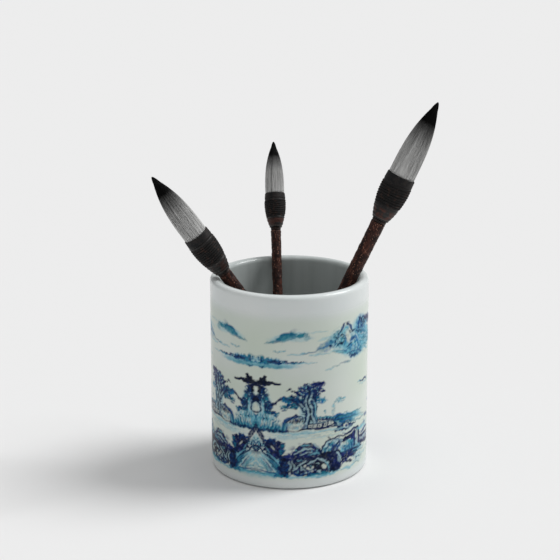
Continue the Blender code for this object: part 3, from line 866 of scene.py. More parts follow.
def paint_shore(sheet):
    """Reeds, a bank and a moored boat to the right of the house."""
    sheet.wash(62, 43, 14, 2.6, SKY, 0.75, -6)
    sheet.patch([50, 45.6, 56, 45.4, 64, 45, 72, 43.8, 66, 42.2, 60, 40.6, 54, 38.8, 50.4, 38.6],
                 TEAL, 0.6)
    sheet.mottle(56, 42.6, 8, 3.4, BLUE, 0.85, 0.45, 0.9, 3, -12)
    sheet.mottle(54, 41.6, 4.6, 3, NAVY, 0.92, 0.5, 0.9, 2.4, -12)
    sheet.mottle(67, 42.6, 9, 2.2, SKY, 0.8, 0.45, 0.8, 5, -10)
    for i in range(9):
        z = 45.6 - 0.8 * i
        sheet.stroke([49.6 + 0.7 * i, z + 0.4, 57 + i, z, 66 + 1.6 * (i % 5), z - 0.8], 0.8,
                      (COBALT, NAVY, TEAL)[i % 3], 0.85)
    sheet.stroke([58, 44.8, 68, 44.6, 78, 43.6], 0.8, TEAL, 0.7)
    sheet.stroke([62, 41.4, 72, 41.2, 82, 40], 0.8, TEAL, 0.7)
    sheet.stroke([66, 39.6, 76, 39.6, 84, 38.4], 0.7, SKY, 0.8)
    sheet.patch([50, 36.2, 54, 38.6, 58, 39.6, 64, 38.6, 71, 36.6, 66, 35.4, 60, 34.4, 56, 35.4],
                 NAVY, 0.95)
    sheet.dabs(58, 36.9, 8, 2.2, 44, 1.1, (NAVY, VIOLET, BLUE), 0.9)
    sheet.patch([58.6, 36.2, 58.6, 38.8, 62.4, 38.6, 62.4, 36], IVORY, 0.95)
    sheet.wash(60.5, 37.4, 1, 0.6, VIOLET, 0.95, 0, 0.3)
    sheet.stroke([64, 39.4, 70, 37.6, 76, 37.6, 82, 38.4], 0.8, TEAL, 0.75)
    sheet.wash(32, 37.4, 22, 0.8, SKY, 0.55)
    sheet.mottle(36, 35.4, 30, 2.4, MIST, 0.7, 0.5, 0.8, 12)
    sheet.mottle(34, 36.4, 26, 1, SKY, 0.6, 0.4, 0.6, 14)
    sheet.dabs(54.5, 55, 4.4, 1.6, 30, 1.1, (SKY, MIST, TEAL), 0.5)
    sheet.dabs(50, 50.5, 1.4, 4, 26, 1, (SKY, TEAL, MIST), 0.5)
    sheet.dabs(57.4, 56.4, 2, 1, 12, 0.9, (SKY, TEAL), 0.5)
    sheet.dabs(60.5, 46.6, 1.2, 0.4, 4, 0.8, (TEAL,), 0.6)
    sheet.dabs(43.8, 49.4, 0.8, 1.6, 8, 0.8, (SKY, TEAL), 0.5)


def paint_boats(sheet):
    sheet.stroke([72, 62.9, 76, 62.5, 80, 62.3], 1, SKY, 0.8)
    sheet.stroke([75, 62.6, 79, 61.9, 84, 61.9, 89, 61.2], 1.5, BLUE, 0.85)
    sheet.stroke([76, 62, 80, 61.6, 86, 61.4], 0.8, BLACK, 0.8)
    sheet.stroke([74, 60.8, 82, 60, 92, 59.4], 0.8, SKY, 0.6)


def paint_seam_mound(sheet):
    """The rocky mound in the foreground, below the first tree."""
    sheet.wash(4, 15.4, 14, 8, SKY, 0.7)
    sheet.mottle(11.6, 14.6, 5.6, 6, TEAL, 0.9, 0.65, 0.9, 2.4, -42)
    sheet.mottle(12.6, 13.4, 5, 5, BLUE, 0.85, 0.45, 0.8, 2.4, -42)
    sheet.patch([-1, 23.4, 2.6, 23, 5.2, 20, 8, 16.4, 11.6, 13.2, 13, 11.2, 4, 10.6, -1, 11],
                 IVORY, 0.9)
    sheet.mottle(6, 15.6, 7, 5.4, SKY, 0.75, 0.45, 0.8, 2.6, -48)
    for i in range(18):
        ink = ((SKY, MIST, TEAL), (TEAL, BLUE, IVORY), (NAVY, BLUE, SKY))[i // 6][i % 3]
        high, low = 22.6 - 0.12 * i - 1.8 * (i * 3 % 4), 11.2 + 1.5 * (i * 2 % 5 % 3)
        start = 1 + 0.5 * i + 0.5 * (i * 3 % 4)
        sheet.stroke([start, high, start + 0.45 * (high - low), (high + low) / 2 - 0.8, start + 0.9
                      * (high - low) - 1.5, low], 0.55 + 0.12 * (i % 3), ink, 0.85)
    for line, width, ink in (
            ((1, 19.8, 3, 16.6, 5.6, 13.6), 0.45, SKY),
            ((0.4, 16.4, 1.4, 14.4, 2.8, 12.8), 0.45, SKY),
            ((0.4, 12, 5, 11.6, 9, 11, 14, 10), 0.8, BLUE), ((1, 14.2, 5, 13.2, 9, 12), 0.6, TEAL),
            ((0.2, 10.2, 6, 9.8, 12, 9.4), 0.8, TEAL), ((0.2, 11.2, 4, 10.8), 0.6, NAVY),
            ((0, 42.4, 1, 39.2, 2.8, 36.2, 4.6, 33, 6.6, 30.2), 2.9, NAVY)):
        sheet.stroke(line, width, ink, 0.92, 0.45)
    sheet.dabs(14, 9.8, 3.6, 1.6, 34, 1, COOL, 0.85)
    sheet.patch([-1, 37.6, 0.5, 37.4, 1.6, 34, 2.8, 30, 0, 29], MIST, 0.92)
    sheet.mottle(1, 30, 2.2, 3.8, TEAL, 0.9, 0.5, 0.7, 0.6)
    sheet.mottle(1.4, 28.6, 2.6, 2.4, BLUE, 0.9, 0.5, 0.7, 0.6)
    sheet.mottle(3.6, 27, 5, 3.6, NAVY, 0.97, 0.7, 0.9, 0.8, 20)
    sheet.mottle(3, 28.6, 3.6, 3, SKY, 0.8, 0.3, 0.8, 0.6, 25)
    sheet.patch([5.6, 29.6, 8, 32, 10, 33.2, 12.4, 33, 14.2, 31.4, 16.6, 30.8, 17.6, 28.4,
                 16.4, 26.4, 17.6, 24.2, 16.6, 21.8, 14, 20.4, 10.4, 20.8, 7.2, 23.2], NAVY, 0.96)
    sheet.mottle(12.2, 25.4, 4.6, 4.2, VIOLET, 0.85, 0.38, 1, 1.2)
    sheet.mottle(12, 28, 4.6, 4.2, BLACK, 0.9, 0.42, 1, 1.2)
    sheet.dabs(11.6, 32, 5.2, 1.6, 34, 1.1, (NAVY, BLUE, NAVY), 0.95)
    sheet.dabs(17, 27.4, 1.6, 4.4, 34, 1.1, (BLUE, NAVY, TEAL), 0.88)
    sheet.patch([14.6, 22.6, 19.6, 23.4, 21.4, 21, 21.2, 13, 19.6, 9.4, 16.2, 9.2, 15, 13], NAVY,
                 0.95)
    sheet.mottle(17.8, 16.6, 3, 6.8, BLACK, 0.95, 0.5, 1.1, 1.2)
    sheet.dabs(17.8, 15.6, 3.4, 6.8, 70, 1.1, (NAVY, NAVY, BLUE), 0.95)
    sheet.mottle(20.4, 21.6, 3.4, 2.6, VIOLET, 0.9, 0.5, 1, 1.6)
    sheet.stroke([9.8, 28.8, 10.6, 27.6, 11.6, 26.4], 1.2, IVORY, 0.92)
    sheet.stroke([7.6, 23.6, 10.6, 21.8, 14, 18.8, 15.4, 15.6], 0.9, SKY, 0.85)
    sheet.stroke([6.4, 27.8, 8, 26, 8.8, 24], 0.7, SKY, 0.7)
    sheet.stroke([3.2, 24.6, 5.6, 23.2, 9.6, 21.4, 13, 18], 1.2, NAVY, 0.95)


def paint_rocks(sheet, s):
    """Foreground rocks from s to s + 55: dark masses, pale veins and bold outlines."""

    def at(points):
        return as_points(points) + (s, 0) - (20, 0)

    def mottle(x, z, half_s, half_z, ink, strength, share, cell=1.3, stretch=1.6, turn=0.0):
        sheet.mottle(s + x - 20, z, half_s, half_z, ink, strength, share, cell, stretch, turn)

    def dabs(x, z, half_s, half_z, count, dab, inks, strength=0.95):
        sheet.dabs(s + x - 20, z, half_s, half_z, count, dab, inks, strength)

    def line(points, width, ink, strength=0.95):
        sheet.stroke(at(points), width, ink, strength, 0.45)

    sheet.patch(at([21.6, 21, 23, 25, 26, 28.4, 30, 30.4, 34.6, 30.4, 38.6, 28.4, 41.4, 25.4,
                42, 20]), NAVY, 0.93)
    sheet.patch(at([21, 20.6, 30, 21.6, 42, 20.8, 52, 22.6, 57.4, 21, 57, 13, 54, 9.6, 44, 9.2,
                34, 9.6, 24, 9.4, 20.6, 12]), NAVY, 0.92)
    mottle(31, 26, 9, 4.4, VIOLET, 0.75, 0.4)
    mottle(38, 14.6, 18, 5.6, BLACK, 0.9, 0.42, 1.6, 1.4)
    mottle(30, 13, 9, 3.4, VIOLET, 0.7, 0.35)
    mottle(31, 10.2, 10, 1.4, BLUE, 0.9, 0.6, 1, 1.2)
    mottle(42, 8.9, 11, 1.2, TEAL, 0.8, 0.45, 1, 2)
    sheet.wash(s + 20.4, 14.8, 3.4, 3.4, BLACK, 0.9)
    for vein, width, ink in (
            ((24, 23.2, 27, 25.8, 31, 27.2, 36, 26.4), 1.1, MIST),
            ((27.6, 23.4, 31.6, 24.8, 35.6, 24.4), 0.8, MIST),
            ((22.6, 22.6, 25, 25.6), 0.7, VIOLET), ((33.6, 22.6, 37, 23.8, 40, 23), 0.7, SKY),
            ((36.6, 29.6, 38.8, 28, 40.4, 26.2), 1.1, MIST),
            ((28, 28.6, 31.4, 29.2, 34, 28.6), 0.7, SKY),
            ((21.4, 18.8, 22.4, 15.6, 21.4, 12.8), 1, MIST),
            ((22.8, 19.2, 24.4, 16.6, 24, 13.6), 0.7, MIST),
            ((23.4, 12.8, 26, 15.2, 29.4, 17.4, 32, 18.8), 1.1, MIST),
            ((26.4, 19.8, 29.4, 19.2), 0.7, SKY), ((33, 17, 36, 18.6, 39.4, 20), 1, MIST),
            ((38.6, 20, 42.6, 18.4, 46.4, 15.6), 1.2, MIST), ((28.6, 15.4, 30.6, 13.2), 0.8, MIST),
            ((34.6, 16, 36.4, 14.6), 0.7, SKY), ((46.8, 19.4, 49, 17), 0.7, VIOLET),
            ((26.8, 12.8, 26.4, 10.8), 0.7, SKY), ((33, 11.2, 35, 12.2), 0.7, MIST),
            ((39.6, 11.2, 41.4, 9.8), 0.8, MIST), ((44.4, 17.2, 47, 13, 46.6, 10.4), 0.8, SKY),
            ((30, 22, 34, 20.9), 0.6, VIOLET)):
        line(vein, width, ink, 0.92)
    dabs(31, 25, 8, 3.6, 30, 0.9, (NAVY, VIOLET, SKY), 0.85)
    dabs(34, 14, 12, 4.4, 70, 0.9, (BLACK, NAVY, MIST), 0.85)
    for x, z, half_s, half_z in (
            (43.8, 14, 1.4, 1.8), (36.2, 14.6, 0.9, 0.9), (33.2, 13.8, 0.8, 1.1),
            (31.4, 15.6, 0.8, 0.7), (36, 12, 0.8, 0.7)):
        sheet.wash(s + x - 20, z, half_s, half_z, IVORY, 0.95, 20, 0.35)
    sheet.patch(at([42.4, 24, 43, 27.6, 46, 29.8, 50, 30.2, 54, 30.4, 57, 29.4, 57.8, 25, 54, 22.4,
                47, 22.6]), MIST, 0.95)
    mottle(47, 26, 5, 3.4, TEAL, 0.9, 0.55, 1, 2, 25)
    mottle(46, 25, 4, 2.4, COBALT, 0.85, 0.4, 0.9, 2, 25)
    mottle(52, 25, 5, 3, VIOLET, 0.9, 0.5, 0.9, 2, 35)
    mottle(51, 27.6, 6, 2.4, BLUE, 0.85, 0.36, 0.9, 2, 30)
    line([43.4, 24.4, 46.6, 27, 50, 29.4], 0.7, NAVY)
    line([49, 23.4, 52, 26.4, 55.6, 28.2], 0.8, NAVY)
    line([41.6, 22.6, 42.4, 27, 44.6, 29.8, 48, 31, 51, 31.4, 54, 32.2, 58, 31.4], 1.5, NAVY)
    line([49, 23.6, 52, 25, 53.6, 27.6, 54, 29], 1.3, NAVY)
    line([51.4, 27.4, 53.6, 25, 57, 25.8], 1.1, BLUE)
    line([46, 32.4, 48, 31.4], 1, NAVY)
    line([57.4, 33, 62, 32, 66, 32.6, 72, 32.8], 1.1, BLUE, 0.8)
    sheet.wash(s + 28, 21.4, 7.6, 1.8, BLACK, 0.95, -3)
    dabs(48, 21.2, 7.4, 1.6, 50, 1.5, DARK)
    dabs(53, 16, 3.4, 5.4, 50, 1.6, DEEP)
    dabs(52, 11.4, 4.4, 2, 40, 1.5, DARK)
    line([52.8, 21.4, 54.4, 20, 55.6, 17, 55.8, 14.4], 1.5, MIST, 0.95)
    line([53.4, 18.4, 54, 15], 0.8, MIST, 0.8)
    sheet.patch(at([55.6, 22, 57.4, 26.4, 61, 27.6, 66, 27, 70.6, 23.4, 68, 19.6, 58, 19]), SKY,
                0.9)
    mottle(59.6, 25, 3.6, 2.4, IVORY, 0.9, 0.6, 1.1, 2, -20)
    mottle(65, 22.8, 6.4, 3.6, TEAL, 0.9, 0.55, 1, 0.5, -15)
    mottle(64.4, 21.6, 6.6, 3, BLUE, 0.9, 0.5, 1, 0.6, -15)
    sheet.patch(at([55.4, 20.6, 58, 20.2, 66, 20.6, 72, 21.6, 80, 21.4, 74, 18.2, 67, 15.4,
                58, 14.4]), NAVY, 0.94)
    mottle(65, 17.8, 9, 2.8, VIOLET, 0.85, 0.4, 1, 2.6, -6)
    mottle(74, 19.6, 8, 2.2, NAVY, 0.9, 0.55, 1, 4, -6)
    mottle(66, 19.2, 9, 2, COBALT, 0.8, 0.3, 0.8, 2, -10)
    line([57.4, 14.4, 62, 12.8, 67, 12.2], 1.6, NAVY)
    line([56.4, 12, 60, 13.6, 63, 15], 1.4, VIOLET)
    line([62, 16, 68, 15.6, 74, 17.2], 0.9, NAVY)
    dabs(71, 12.8, 1.8, 0.6, 6, 1, (BLUE, TEAL), 0.7)
    sheet.patch(at([55.6, 26.4, 58, 28.6, 62, 30.4, 68, 31.4, 73, 31.6, 70, 29, 64, 27.8,
                59, 27.2]), NAVY, 0.95)
    dabs(62.4, 28.8, 6, 1.5, 50, 1.1, DARK)
    line([58, 31.6, 62, 32.2, 68, 33.2, 74.4, 33], 1.6, NAVY)
    line([66, 28.6, 68.6, 25.4, 70.6, 22.4], 1.3, BLUE)
    mottle(68, 29, 3.6, 4, VIOLET, 0.8, 0.5, 1, 0.6)
    mottle(72, 22, 5, 3, SKY, 0.7, 0.4, 1, 3, -20)


def paint_jetty(sheet, s):
    """A plank jetty on posts that starts at s."""
    sheet.patch([s + 5, 33, s + 9, 33.2, s + 9.4, 23, s + 6, 22.6], NAVY, 0.85)
    for x, ink, width in (
            (1.6, VIOLET, 1.4), (3.2, NAVY, 1.4), (4.8, MIST, 1.3), (6.4, IVORY, 1.2),
            (8.6, NAVY, 1.8)):
        sheet.stroke([s + x, 31.6, s + x + 0.4, 21.6], width, ink, 0.92, 0.7)
    sheet.wash(s + 16, 23, 10, 3.2, VIOLET, 0.55, -6)
    sheet.stroke([s + 9, 26, s + 15, 25.2, s + 25, 24.6], 1.8, NAVY, 0.9)
    sheet.stroke([s + 10, 24.2, s + 15, 23.6, s + 22, 23], 1, MIST, 0.9)
    sheet.stroke([s + 7.4, 22.4, s + 12, 21.2, s + 17, 20.2, s + 26, 19.2], 2.4, NAVY, 0.92)
    sheet.stroke([s + 11, 27.4, s + 18, 28.6, s + 25, 28.2], 2, VIOLET, 0.75)
    sheet.stroke([s + 17, 37.4, s + 21, 36.6, s + 26, 35.4], 2.6, BLUE, 0.75)
    sheet.mottle(s + 17, 27, 9, 7, BLUE, 0.75, 0.32, 0.9, 4, -4)
    for i in range(8):
        z = 18.8 - 1.3 * i
        sheet.stroke([s + 1 + 1.2 * (i % 3), z, s + 9, z - 0.7, s + 18 - i, z - 1.2], 0.7, PALE[i %
                      3], 0.8)
    sheet.wash(s + 14, 31, 8, 1.4, SKY, 0.6, -4)


def paint_water(sheet):
    """Thin lines of water and the pale wash that ends the painting at the foot."""
    for z, low, high in ((8.6, 10, 58), (7.9, 30, 52), (9.4, 0, 12), (9, 58, 70)):
        sheet.stroke([low, z, (low + high) / 2, z - 0.4, high, z + 0.2], 1.3, SKY, 0.7)
    sheet.dabs(17, 9.2, 5, 0.9, 24, 1.2, (TEAL, BLUE), 0.8)
    for s, z in ((78, 31.6), (86, 33.4), (92, 15), (84, 13.4)):
        sheet.stroke([s - 5, z, s, z - 0.3, s + 5, z], 0.7, SKY, 0.6)


def paint_back(sheet):
    """The far side of the pot: the same kind of landscape, carried on."""
    sheet.wash(124, 36.6, 30, 1.4, SKY, 0.5)
    paint_second_tree(sheet, 110, 0.86)
    paint_second_tree(sheet, 131, 1)
    paint_house(sheet, 147)
    paint_crag(sheet, 140, -1)
    sheet.patch([92, 95, 95, 97, 98, 98.8, 101, 101, 103, 101.8, 106, 100, 109, 99.4, 112, 97.6,
                 108, 96.8, 102, 96.6, 97, 95.4], TEAL, 0.75)
    sheet.stroke([92, 88.4, 102, 89.6, 112, 89], 0.9, SKY, 0.7)
    sheet.stroke([96, 82, 106, 82.4, 118, 81.8], 1, BLUE, 0.75)
    sheet.dabs(106, 83.4, 8, 1.2, 50, 1.1, MIXED, 0.85)
    sheet.wash(106, 80.8, 12, 1.2, SKY, 0.6)
    sheet.hatch((96, 37.8), (124, 38.2), 30, (0.4, 3.2), 1, (TEAL, BLUE, SKY), 0.8)
    sheet.mottle(110, 39.4, 15, 1.9, NAVY, 0.85, 0.5, 1.1, 0.9)
    sheet.stroke([92, 38.4, 112, 39.3, 140, 39.2, 157, 39.6], 0.9, NAVY, 0.85)
    paint_rocks(sheet, 96)
    for i in range(5):
        sheet.stroke([90 + 2 * i, 45.6 - i, 98 + i, 45 - i, 106, 44.6 - i], 0.8, COOL[i % 3], 0.8)


def painted_sheet(length, height):
    """The whole painting, from the seam round to the back of the pot."""
    sheet = Sheet(length, height)
    paint_far_hills(sheet)
    paint_island(sheet)
    paint_crag(sheet, 60)
    paint_shore(sheet)
    paint_first_tree(sheet)
    paint_second_tree(sheet, 34)
    paint_hut(sheet)
    paint_house(sheet, 44)
    paint_boats(sheet)
    paint_rocks(sheet, 20)
    paint_seam_mound(sheet)
    paint_jetty(sheet, 66)
    paint_water(sheet)
    paint_back(sheet)
    return sheet


# ---------------------------------------------------------------- pot

SEAM_ANGLE = math.radians(-24.2)   # where the painting is mirrored, from -Y towards +X
FINE_COLUMNS = 512                 # round the painted band; other rows have fewer
MIDDLE_COLUMNS = 256
COARSE_COLUMNS = 128
PAINT_LOW = 5.0                    # mm, the band with the finest rows
PAINT_HIGH = 109.0
SHEET_MARGIN = 8                   # mm of sheet above the band
ROW_STEP = 0.62
FLOOR_TOP = 10.0 * MM              # inside, above the foot
WALL_SWELL = 0.16 * MM             # how far the thrown wall strays from round
WALL_RINGS = 0.05 * MM             # and the height of its throwing rings
INNER_RISE = 1.8 * MM              # the inside's painted shade starts this far above the lip and is full this much lower
INNER_FADE = 2.4 * MM              # and is full this much lower
DULL_BELOW = 113 * MM              # the painted wall mirrors the studio less than the lip
BARE_BELOW = 1.4 * MM              # the unglazed foot, within BARE_SHARE of the radius
BARE_SHARE = 0.88


def sample(sheet, field, s, z):
    """Reads a sheet's field at (s, z) points, by the four cells around each."""
    x = np.clip(s / SHEET_STEP, 0, len(sheet.s_axis) - 1.001)
    y = np.clip(z / SHEET_STEP, 0, len(sheet.z_axis) - 1.001)
    x0, y0 = x.astype(int), y.astype(int)
    fx, fy = x - x0, y - y0
    if field.ndim == 3:
        fx, fy = fx[..., None], fy[..., None]
    low = field[y0, x0] * (1 - fx) + field[y0, x0 + 1] * fx
    high = field[y0 + 1, x0] * (1 - fx) + field[y0 + 1, x0 + 1] * fx
    return low * (1 - fy) + high * fy


def pot_rows():
    """(radius, height, columns) from the middle of the foot, up the outside and down the
    inside, the index of the first row inside, and the pot's radius and height."""
    low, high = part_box("pot_body")
    radius = (high.x - low.x) / 2
    top = high.z
    wall, lip, foot, fillet = 6.5 * MM, 2.8 * MM, 2.7 * MM, 3.0 * MM
    inner = radius - wall
    bare = [(r, 0.0012) for r in (0.004, 0.020, radius * 0.80)] + [(radius * 0.83, 0.0003)]
    foot_rows = [(radius * 0.86, 0.0)] + arc((radius - foot, foot), foot, -90, 0, 6)
    painted = [(radius, z) for z in np.arange(PAINT_LOW, PAINT_HIGH, ROW_STEP) * MM]
    upper = [(radius, z) for z in np.linspace(PAINT_HIGH * MM, top - lip, 8)[1:-1]]
    upper += arc((radius - lip, top - lip), lip, 0, 90, 7)
    lip_rows = arc((inner + lip, top - lip), lip, 90, 180, 7)
    inside = [(inner, z) for z in np.linspace(top - lip, FLOOR_TOP + fillet, 26)[1:-1]]
    inside += arc((inner - fillet, FLOOR_TOP + fillet), fillet, 0, -90, 5)
    inside += [(r, FLOOR_TOP) for r in (inner * 0.7, inner * 0.4, inner * 0.12)]
    rows = [(r, z, COARSE_COLUMNS) for r, z in bare]
    rows += [(r, z, MIDDLE_COLUMNS) for r, z in foot_rows]
    rows += [(r, z, FINE_COLUMNS) for r, z in painted]
    rows += [(r, z, MIDDLE_COLUMNS) for r, z in upper]
    first_inside = len(rows)
    rows += [(r, z, MIDDLE_COLUMNS) for r, z in lip_rows]
    rows += [(r, z, COARSE_COLUMNS) for r, z in inside]
    return rows, first_inside, radius, top


def make_pot():
    rows, first_inside, radius, top = pot_rows()
    turn, radii, height, faces = stepped_rings(rows)
    rng = np.random.default_rng(SEED + 1)
    swell = lattice_noise(rng, turn / math.tau * 7, height / (18 * MM), wrap=7) - 0.5
    rings = lattice_noise(rng, turn / math.tau * 2, height / (5 * MM), wrap=2) - 0.5
    edge = smoothstep(0.0, 6 * MM, height)
    grown = radii * (1.0 + edge * (WALL_SWELL * swell + WALL_RINGS * rings) / radius)
    points = np.stack([grown * np.cos(turn), grown * np.sin(turn), height], -1)
    pot = new_object("pot_glaze", points, faces)

    outside_count = sum(row[2] for row in rows[:first_inside])
    outside = np.arange(len(turn)) < outside_count
    outside[-2] = True
    around = np.arctan2(points[:, 0], -points[:, 1]) - SEAM_ANGLE
    around = (around + math.pi) % math.tau - math.pi
    along = np.abs(around) * radius / MM
    sheet = painted_sheet(math.pi * radius / MM + SHEET_STEP, PAINT_HIGH + SHEET_MARGIN)
    ink, cover, tint = [sample(sheet, field, along, height / MM)
                        for field in (sheet.ink, sheet.cover, sheet.tint)]
    band = (height > 4 * MM) & (height < PAINT_HIGH * MM) & outside & (radii > radius * 0.99)
    cover = np.where(band, cover, 0.0)
    put_attribute(pot, "paint", np.concatenate([ink, cover[:, None]], -1), "FLOAT_COLOR")
    put_attribute(pot, "tint", np.where(outside & (radii > radius * 0.9), tint, 0.0))
    # The inside attribute mixes in the inside's painted shade, which reaches up over the lip's
    # crest.
    depth = np.clip((top + INNER_RISE - height) / INNER_FADE, 0.0, 1.0)
    put_attribute(pot, "inside", np.where(outside, 0.0, depth))

    for material in (glaze_material("painted_glaze", 0.06), glaze_material("clear_glaze", 0.35),
                     biscuit_material()):
        pot.data.materials.append(material)
    centres = np.array([p.center for p in pot.data.polygons])
    away = np.hypot(centres[:, 0], centres[:, 1]) / radius
    slots = np.where((centres[:, 2] < DULL_BELOW) & (away > 0.95), 0, 1)
    slots[(centres[:, 2] < BARE_BELOW) & (away < BARE_SHARE)] = 2
    pot.data.polygons.foreach_set("material_index", slots.astype(np.int32))
    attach(pot, "pot")
    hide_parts("pot_body")


# ---------------------------------------------------------------- brushes

class BrushFrame:
    """A brush's own frame and sizes, read from its CAD nodes and its lifting axis."""

    def __init__(self, side):
        self.side = side
        self.body = side + "_brush"
        joint = next(j for j in frame["joints"] if j["child"] == self.body)
        axis = Vector(joint["axis"]).normalized()
        level = Vector((axis.x, axis.y, 0.0)).normalized()
        across = Vector((-level.y, level.x, 0.0))
        forward = across.cross(axis)
        turn = Matrix((forward, across, axis)).transposed()
        self.to_local = np.array(turn.transposed())
        cap = self.points("tail_cap")
        middle = (cap.max(0) + cap.min(0)) / 2
        foot = turn @ Vector((middle[0], middle[1], cap[:, 2].min()))
        self.offset = np.array(self.to_local @ np.array(foot))
        self.matrix = Matrix.Translation(foot) @ turn.to_4x4()
        self.rng = np.random.default_rng(SEED + sum(map(ord, side)))
        self.cap_top, self.tail = self.shoulder("tail_cap")
        self.neck, self.ring_top, _ = self.span("neck_ring")
        self.bell_low, self.bell_top, _ = self.span("bell")
        self.wind_low, self.wind_high, self.wind_radius = self.span("winding")
        self.collar_low, self.mouth, self.collar_radius = self.span("collar")
        self.root, self.tip, self.tuft_radius = self.span("tuft_mantle")
        self.bind_low, self.bind_high, self.bind_radius = self.span("root_binding")
        self.handle_top, self.neck_radius = self.shoulder("handle")
        self.bell_length = self.mouth - self.neck

    def node(self, name):
        return self.side + "_" + name

    def points(self, name):
        """A node's vertices in the brush's frame, before its foot is moved to z = 0."""
        vertices = np.array([v.co for v in nodes[self.node(name)].data.vertices])
        return vertices @ self.to_local.T

    def local(self, name):
        return self.points(name) - self.offset

    def span(self, name):
        """(lowest z, highest z, largest radius) of a node in the brush's frame."""
        points = self.local(name)
        return points[:, 2].min(), points[:, 2].max(), np.hypot(points[:, 0], points[:, 1]).max()

    def shoulder(self, name):
        """Height of the top edge of a node's widest part, and its radius."""
        points = self.local(name)
        radius = np.hypot(points[:, 0], points[:, 1])
        widest = radius > radius.max() * 0.995
        return points[widest, 2].max(), radius.max()

    def handle_radius(self, z):
        """Radius of the tapered handle at a height."""
        share = (z - self.cap_top) / (self.handle_top - self.cap_top)
        return self.tail + (self.neck_radius - self.tail) * share

    def place(self, name, vertices, faces, material, slot, replaced):
        """Makes a piece that stands for one CAD node of this brush."""
        obj = new_object(self.node(name), vertices, faces)
        obj.data.materials.append(material)
        obj.matrix_world = self.matrix
        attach(obj, self.body)
        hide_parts(self.node(replaced))
        return obj


BELL_SWELL_SPAN = 1.42     # half sine wave of the bell's swell, in bell lengths
BELL_SWELL_POWER = 0.9
TUFT_TAPER_POWER = 2.75    # the hair narrows as this power of its height
HANDLE_COLUMNS = 72
BELL_COLUMNS = 96
WRAPS = 10
CORD_STEPS = 96            # points along each turn
CORD_SIDES = 18
CORD_TWISTS = 30           # of its two plies, in each turn
THREAD_TURNS = 7
THREAD_STEPS = 48
THREAD_SIDES = 8
BEAD_COLUMNS = 72
CAP_COLUMNS = 64
TENON_SHARE = 0.68         # of the handle's radius at the neck, where it enters the bell


def bell_outer(brush, z):
    """Outer radius of the bell at a height, over the winding's ridges."""
    share = np.clip((z - brush.neck) / brush.bell_length, 0.0, 1.0)
    swell = np.sin(math.pi * share / BELL_SWELL_SPAN) ** BELL_SWELL_POWER
    return brush.neck_radius + (brush.wind_radius - brush.neck_radius) * swell


def tuft_outer(brush, share):
    """Outer radius of the hair at a share of the way from the mouth to the tip."""
    return brush.tuft_radius * (1.0 - share ** TUFT_TAPER_POWER)


def knobbly(brush, z, columns, cell, depth):
    """Bumps of a given cell size over the rows of a turned surface, in metres."""
    cells = max(6, int(round(math.tau * brush.neck_radius / cell)))
    value = lattice_noise(brush.rng, ring_angles(columns) / math.tau * cells, z / cell,
                          wrap=cells)
    return (value - 0.5) * depth


def make_handle(brush, material):
    """The grip, which ends in a tenon through the neck ring."""
    low = brush.cap_top + 0.3 * MM
    rows = int((brush.handle_top - low) / (0.45 * MM))
    heights = np.linspace(low, brush.handle_top, rows)
    radii = brush.handle_radius(heights)
    radii[[0, -1]] -= 0.25 * MM
    tenon = brush.neck_radius * TENON_SHARE
    radii = np.append(radii, [tenon, tenon])
    heights = np.append(heights, [brush.handle_top, brush.bell_low - 0.02 * MM])
    points = ring_grid(radii, heights, HANDLE_COLUMNS)
    height = points[..., 2]
    push = knobbly(brush, height, HANDLE_COLUMNS, 2.2 * MM, 0.30 * MM)
    push += knobbly(brush, height, HANDLE_COLUMNS, 0.9 * MM, 0.26 * MM)
    push[-2:] = 0.0
    points[..., :2] *= (1.0 + (push - 0.10 * MM) / radii[:, None])[..., None]
    brush.place("grip", *turned_parts(points), material, "handle_wood", "handle")


def make_cap(brush, material):
    """The rounded tail cap, with a fine groove below its shoulder."""
    radius = brush.tail
    outline = arc((0.0, radius), radius, -84, 0, 14)
    outline += [(radius, z) for z in np.linspace(radius, brush.cap_top - 0.5 * MM, 5)[1:]]
    outline += [(radius - 0.12 * MM, brush.cap_top - 0.25 * MM),
                (radius - 0.35 * MM, brush.cap_top - 0.05 * MM)]
    outline = np.array(outline)
    groove = np.exp(-((outline[:, 1] - brush.cap_top * 0.82) / (0.35 * MM)) ** 2)
    points = ring_grid(outline[:, 0] - 0.18 * MM * groove, outline[:, 1], CAP_COLUMNS)
    brush.place("end_cap", *turned_parts(points), material, "horn", "tail_cap")


def make_ring(brush, material):
    """Two fine beads side by side between handle and bell."""
    height = brush.ring_top - brush.neck
    radius = brush.neck_radius - 0.35 * MM
    outline = []
    for i in (0, 1):
        centre = (radius, brush.neck + height * (0.27 + 0.46 * i))
        outline += arc(centre, height * 0.26, -90, 90, 8)
    hole = brush.neck_radius * 0.72
    outline += [(hole, brush.ring_top - 0.05 * MM), (hole, brush.neck + 0.05 * MM)]
    brush.place("neck_beads", *closed_ring(outline, BEAD_COLUMNS), material,
                "neck_lacquer", "neck_ring")


